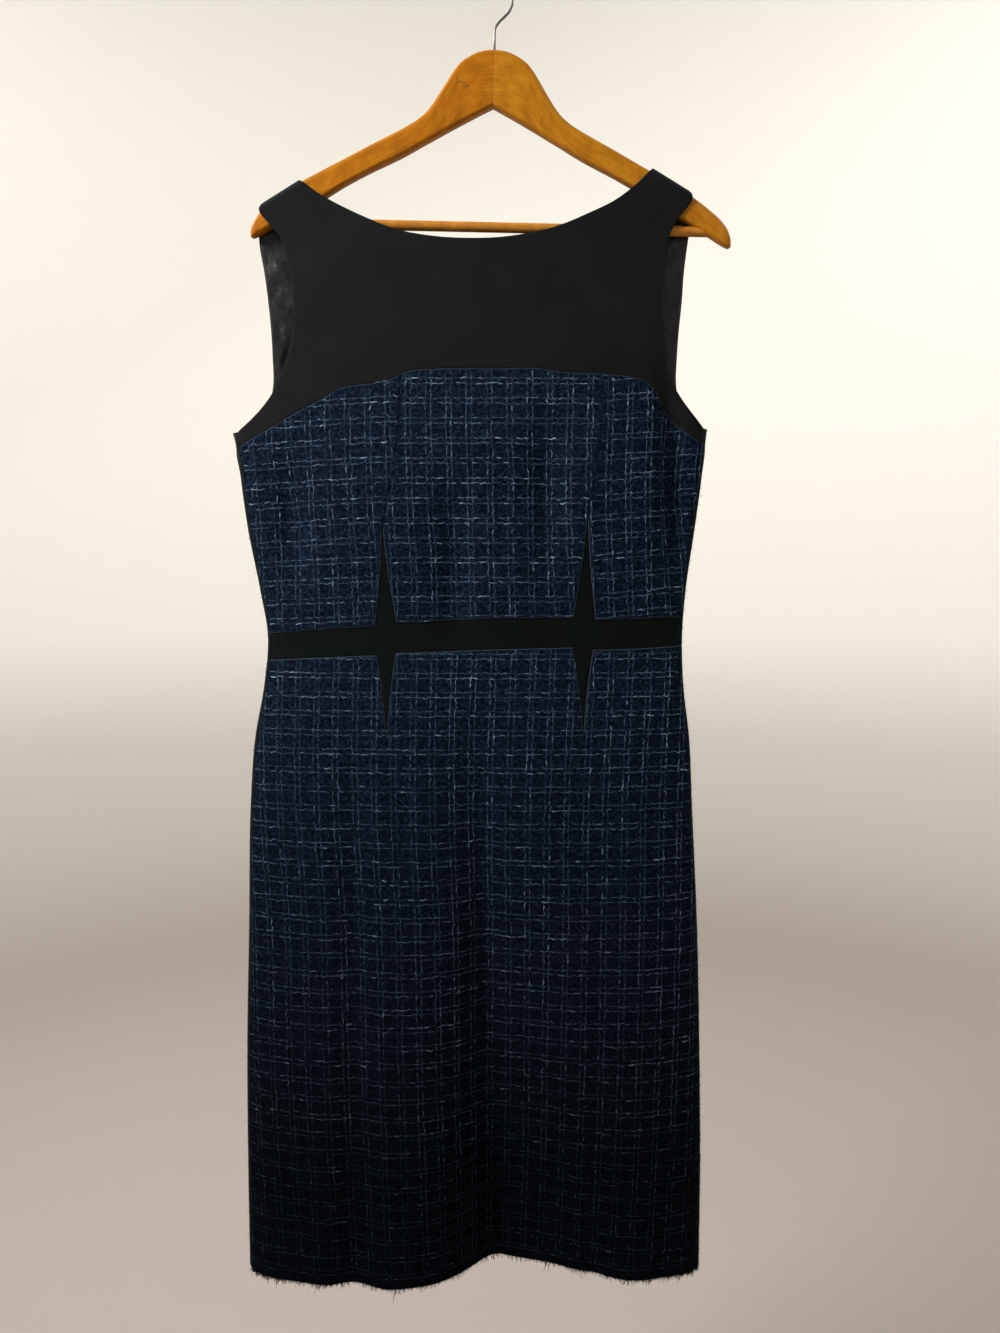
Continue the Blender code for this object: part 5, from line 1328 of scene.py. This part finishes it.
def add_yarns(name, spots, cells, lean, pivot, seed):
    """The check's pale yarns and the ground's dark loops on one tweed piece."""
    draw = np.random.default_rng(seed)
    edge_spots = flat_place(spots[:, 0], spots[:, 1])
    rim = [(edge_spots[a], edge_spots[b]) for a, b in open_edges(cells)]
    straight = sheared(edge_spots, -lean, pivot)
    box = straight.min(axis=0), straight.max(axis=0)
    for direction in ("across", "up"):
        flat, radii, tones = stitches(direction, box, draw)
        flat = sheared(flat, lean, pivot)
        keep = np.logical_and.reduce([is_inside(flat[:, i], rim) for i in (0, YARN_POINTS // 2, -1)])
        keep &= flat[..., 1].min(axis=1) > HEM_Z + PLAIN_HEM
        flat, radii, tones = flat[keep], radii[keep], tones[keep]
        arch = np.sin(math.pi * np.linspace(0, 1, YARN_POINTS))
        rise = YARN_SUNK + arch * (YARN_ARCH + 0.5 * radii.max(axis=1, keepdims=True))
        yarns = bundle(f"{name}_yarns_{direction}", on_cloth(flat, rise), radii, tones, SLUB_YARN)
    low, high = edge_spots.min(axis=0), edge_spots.max(axis=0)
    count = int(LOOPS_PER_AREA * np.prod(high - low))
    middles = draw.uniform(low, high, (count, 2))
    middles = middles[is_inside(middles, rim)]
    count = len(middles)
    turns = draw.uniform(0, 2 * math.pi, (count, 1))
    turns = turns + np.linspace(0, 1, LOOP_POINTS) * draw.uniform(*LOOP_TURN, (count, 1))
    size = draw.uniform(*LOOP_SIZE, (count, 1))
    stretch = draw.uniform(*LOOP_STRETCH, (count, 2, 1))
    ring_spots = np.stack([np.cos(turns) * stretch[:, 0], np.sin(turns) * stretch[:, 1]], axis=-1)
    flat = middles[:, None] + ring_spots * size[..., None]
    keep = np.logical_and.reduce([is_inside(flat[:, i], rim) for i in range(LOOP_POINTS)])
    flat = flat[keep]
    count = len(flat)
    arch = np.sin(math.pi * np.linspace(0, 1, LOOP_POINTS))
    rise = arch * draw.uniform(*LOOP_RISE, (count, 1))
    radii = draw.uniform(*LOOP_RADIUS, (count, 1)) * (0.6 + 0.4 * arch)
    loops = bundle(f"{name}_loops", on_cloth(flat, rise), radii, draw.uniform(0, 1, count), LOOP_YARN)


def grown(root, way, length, shares, bend):
    """Threads as points: each grows from its root its own way and length, bent as it goes."""
    way = way / np.linalg.norm(way, axis=1, keepdims=True)
    return root[:, None] + way[:, None] * (length[:, None] * shares)[..., None] + bend


def add_fringe(name, ends, material):
    """Frayed threads along the raw hem from one side seam to the other."""
    draw = np.random.default_rng(FRINGE_SEED)
    first, last = ends
    count = int((last - first) * TURN_LENGTH / FRINGE_STEP)
    turns = np.linspace(first, last, count) + draw.normal(0, FRINGE_JITTER, count)
    turns = np.clip(turns, first, last)
    heights = np.full(count, HEM_Z + FRINGE_UP)
    root = cloth_point(turns, heights) - cloth_normal(turns, heights) * draw.uniform(*FRINGE_ROOT, (count, 1))
    length = draw.uniform(*FRINGE_LENGTH, count) * (0.6 + 0.5 * np.sin(turns * 37) ** 2)
    length[draw.random(count) < LONG_FRINGE_SHARE] *= LONG_FRINGE
    sideways = [draw.normal(0, spread, count) for spread in FRINGE_SPREAD]
    way = np.stack([*sideways, -np.ones(count)], axis=1)
    shares = np.linspace(0, 1, FRINGE_POINTS)
    curl = draw.normal(0, FRINGE_CURL, (count, FRINGE_POINTS, 3)) * shares[:, None]
    points = grown(root, way, length, shares, curl)
    radii = draw.uniform(*FRINGE_RADIUS, (count, 1)) * (1 - 0.6 * shares)
    bundle(name, points, radii, draw.uniform(0, 0.6, count), material)


def add_fuzz(name, low_turn, high_turn, count, seed):
    """Hairs and nubs that stand off the tweed, most seen along its outline."""
    draw = np.random.default_rng(seed)
    turns = draw.uniform(low_turn, high_turn, count)
    heights = draw.uniform(FUZZ_LOW, FUZZ_HIGH, count)
    normals = cloth_normal(turns, heights)
    root = cloth_point(turns, heights) - normals * FUZZ_ROOT
    way = normals + draw.normal(0, FUZZ_SPREAD, (count, 3))
    length = draw.uniform(*FUZZ_LENGTH, count)
    shares = np.linspace(0, 1, FUZZ_POINTS)
    bend = draw.normal(0, FUZZ_BEND, (count, 1, 3)) * (shares**2)[:, None]
    points = grown(root, way, length, shares, bend)
    radii = draw.uniform(*FUZZ_RADIUS, (count, 1)) * (1 - 0.5 * shares)
    bundle(name, points, radii, draw.uniform(0, 1, count), LOOP_YARN)


# ---------------------------------------------------------------- the whole dress
# Each sheet as it was cut: CAD node, finish, width, length, area and what it hangs from. The
# waistband's length is that of a plain strip with its area, its four points counted in.
SHEETS = {
    "waistband": ("waistband_front", "crepe", 0.399, 0.037, 0.0146, "skirt"),
    "yoke": ("front_yoke", "crepe", 0.444, 0.251, 0.0556, "arm_left"),
    "front_centre": ("bodice_front_centre", "tweed", 0.203, 0.232, 0.0422, "yoke"),
    "front_left": ("bodice_front_side_left", "tweed", 0.156, 0.233, 0.0276, "yoke"),
    "front_right": ("bodice_front_side_right", "tweed", 0.116, 0.229, 0.0204, "yoke"),
    "skirt": ("skirt_front", "tweed", 0.488, 0.635, 0.2846, "waistband"),
    "back_left": ("bodice_back_left", "crepe", 0.266, 0.440, 0.0846, "arm_left"),
    "back_right": ("bodice_back_right", "crepe", 0.262, 0.442, 0.0855, "arm_right"),
    "lining_left": ("back_lining_left", "satin", 0.263, 0.413, 0.0786, "back_left"),
    "lining_right": ("back_lining_right", "satin", 0.260, 0.414, 0.0795, "back_right"),
    "skirt_back_left_cloth": ("skirt_back_left", "crepe", 0.294, 0.630, 0.1488, "back_left"),
    "skirt_back_right_cloth": ("skirt_back_right", "crepe", 0.291, 0.635, 0.1465, "back_right"),
}


def stand_for(node_name):
    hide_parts(node_name)


def declare_sheets():
    for name, (node_name, slot_name, width, length, area, above) in SHEETS.items():
        stand_for(node_name)


def puckers(turn, z, away):
    """The lining's own small drags and bubbles, set where it shows through the armholes."""
    total = np.zeros(len(turn))
    point = cloth_point(turn, z)
    for x, height, wide, tall, lean, depth in LINING_PUCKERS:
        dx, dz = point[:, 0] - x, point[:, 2] - height
        across = dx * math.cos(lean) + dz * math.sin(lean)
        along = -dx * math.sin(lean) + dz * math.cos(lean)
        total += depth * np.exp(-0.5 * ((across / wide) ** 2 + (along / tall) ** 2))
    return total * np.clip(away / 0.006, 0, 1)


TWEED = tweed()
SLUB_YARN = yarn("blue_grey_slub_yarn", "#142030", "#506680", "#8499ae")
LOOP_YARN = yarn("navy_boucle_yarn", "#03070f", "#0e1929", "#33475f")
CREPE = crepe("black_wool_crepe", "#121314")
# Painted shade: the waistband's crepe is a darker copy of the yoke's crepe, for the light that falls off
# towards the waist.
SHADED_BAND_CREPE = crepe("black_band_crepe_painted_shade", "#050b09")
SATIN = satin()
WOOD = {
    "left": varnished_wood("amber_varnished_wood", "#ad6a0e", "#8b5206"),
    "right": varnished_wood("golden_varnished_wood", "#b57716", "#955c0b"),
}
BAR_WOOD = varnished_wood("pale_varnished_dowel", "#c08030", "#9c6424")
STEEL = steel()

SEAM = front_seams(YOKE_SEAM)
TOP, BOTTOM = front_seams(BAND_TOP), front_seams(BAND_BOTTOM)
cloth("waistband", waistband_patches(TOP, BOTTOM), SHADED_BAND_CREPE, SATIN, lift=BAND_SUNK)
cloth("yoke", [with_loops(rounded_straps(yoke_patch(SEAM), behind=False))], CREPE, SATIN, lift=YOKE_SUNK)
for seed, (part, grid) in enumerate(bodice_patches(SEAM, TOP).items()):
    lean, pivot = LEANS[part], PIVOTS[part]
    cloth(f"front_{part}", [with_loops(grid)], TWEED, SATIN, near=("waistband", "yoke"), lean=lean,
          pivot=pivot)
    add_yarns(f"front_{part}", *merged([grid]), lean, pivot, BODICE_SEED_STEP * seed)
patches = skirt_patches(BOTTOM)
cloth("skirt", patches, TWEED, SATIN, near=("waistband",))
add_yarns("skirt", *merged(patches), 0.0, 0.0, SKIRT_SEED)
hem_ends = [float(side_seam(name, [HEM_Z])[0, 0]) for name in ("left", "right")]
add_fringe("hem_fringe", hem_ends, LOOP_YARN)
for fuzz_name, fuzz in SIDE_FUZZ.items():
    add_fuzz(fuzz_name, *fuzz)
for half_name in ("left", "right"):
    grid = back_bodice_patch(half_name)
    cloth(f"back_{half_name}", [with_loops(rounded_straps(grid, behind=True))], CREPE, CREPE)
    grid = grid[LINING_TOP_ROW:].copy()
    edge, inner = (-1, -2) if half_name == "left" else (0, 1)
    grid[:, edge] = grid[:, inner] + (grid[:, edge] - grid[:, inner]) * LINING_REACH
    cloth(f"lining_{half_name}", [with_loops(grid)], SATIN, SATIN, wall=LINING,
          lift=-CLOTH - LINING_EASE, relief=puckers)
    cloth(f"skirt_back_{half_name}_cloth", [with_loops(back_skirt_patch(half_name))], CREPE, CREPE)
    arm = make_arm(half_name, WOOD[half_name])
    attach(arm, DRESS)
    stand_for(f"hanger_arm_{half_name}")
declare_sheets()
for piece, node_name, slot_name in (
    (make_bar(BAR_WOOD), "hanger_bar", "varnished_wood"),
    (make_hook(STEEL), "hanger_hook", "steel"),
):
    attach(piece, DRESS)
    stand_for(node_name)
make_crack()
for node_name in ("zip_slider", "zip_pull_tab"):
    for material_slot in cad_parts[node_name].material_slots:
        material_slot.material = STEEL


# ---------------------------------------------------------------- the room, the light and the camera
ROOM_RADIUS, ROOM_BEND, FLOOR_Z, ROOM_SIDES = 2.7, 0.6, -1.75, 96


def make_room():
    """A pale bowl that the dress hangs in: floor, a curve up and a wall all round."""
    flat_end = ROOM_RADIUS - ROOM_BEND
    profile = [(radius, FLOOR_Z) for radius in (0.4, 0.9, 1.5, flat_end)]
    for angle in np.linspace(0, math.pi / 2, 14)[1:]:
        profile.append((flat_end + ROOM_BEND * math.sin(angle), FLOOR_Z + ROOM_BEND * (1 - math.cos(angle))))
    profile += [(ROOM_RADIUS, z) for z in (-0.6, 0.4, 1.6, 2.8)]
    vertices = []
    for radius, z in profile:
        for angle in np.arange(ROOM_SIDES) * 2 * math.pi / ROOM_SIDES:
            vertices.append((radius * math.cos(angle), radius * math.sin(angle), z))
    faces = [tuple(range(ROOM_SIDES))]
    for row in range(0, (len(profile) - 1) * ROOM_SIDES, ROOM_SIDES):
        for i in range(ROOM_SIDES):
            j = (i + 1) % ROOM_SIDES
            faces.append((row + i, row + ROOM_SIDES + i, row + ROOM_SIDES + j, row + j))
    material, tree, shader = finish_named("matt_wall_paint_with_painted_shade", Roughness=0.9, Specular_IOR_Level=0.1)
    axes = node(tree, "SeparateXYZ", {0: node(tree, "TexCoord").outputs["Object"]})
    # Painted shade: the paint darkens towards the floor, where less light reaches; the darker floor also
    # bounces less light.
    height = node(tree, "MapRange", {"Value": axes.outputs[2], "From Min": -1.72, "From Max": -0.75})
    tone = node(tree, "ValToRGB", {0: height}, ((0.0, "#9c938d"), (1.0, "#e8e6e0")))
    tree.links.new(tone.outputs[0], shader.inputs["Base Color"])
    return new_object("room", vertices, faces, material)


def add_light(name, place, aim, size, power, colour):
    lamp = bpy.data.lights.new(name, "AREA")
    lamp.energy, lamp.size, lamp.color = power, size, linear(colour)[:3]
    obj = bpy.data.objects.new(name, lamp)
    obj.location = place
    obj.rotation_euler = (Vector(aim) - Vector(place)).to_track_quat("-Z", "Y").to_euler()
    bpy.context.scene.collection.objects.link(obj)


LAMPS = (  # name, place, what it is aimed at, size, power, colour
    ("key", (-1.15, -0.66, 0.50), (0, 0, -0.35), 0.40, 38, "#fefdfc"),
    ("fill", (1.3, -1.5, 0.2), (0, 0, -0.4), 1.6, 1.2, "#f4f6ff"),
    ("wall_wash", (0.0, 0.7, 2.2), (0, 2.6, -0.9), 2.0, 5, "#fffefb"),
    ("wash_-1", (-1.6, 0.5, 1.2), (-0.4, 2.7, -1.0), 1.2, 25, "#fffdf6"),
    ("back_-1", (-1.5, 0.95, 0.9), (0, 0, -0.5), 0.6, 32, "#ffffff"),
    ("wash_1", (1.6, 0.5, 1.2), (0.4, 2.7, -1.0), 1.2, 25, "#fffdf6"),
    ("back_1", (1.5, 0.95, 0.9), (0, 0, -0.5), 0.6, 12, "#ffffff"),
)

make_room()
for lamp_row in LAMPS:
    add_light(*lamp_row)
world = bpy.data.worlds.new("pale_room")
world.use_nodes = True
world.node_tree.nodes["Background"].inputs["Color"].default_value = linear("#eeeeee")
world.node_tree.nodes["Background"].inputs["Strength"].default_value = 0.10
bpy.context.scene.world = world

camera = bpy.data.cameras.new("camera")
camera.lens, camera.sensor_width, camera.sensor_fit = 26, 36, "AUTO"
view = bpy.data.objects.new("camera", camera)
view.location, view.rotation_euler = (0.0037, -0.923, -0.5267), (math.radians(84), 0, 0)
bpy.context.scene.collection.objects.link(view)
bpy.context.scene.camera = view
bpy.context.scene.view_settings.view_transform = "Standard"
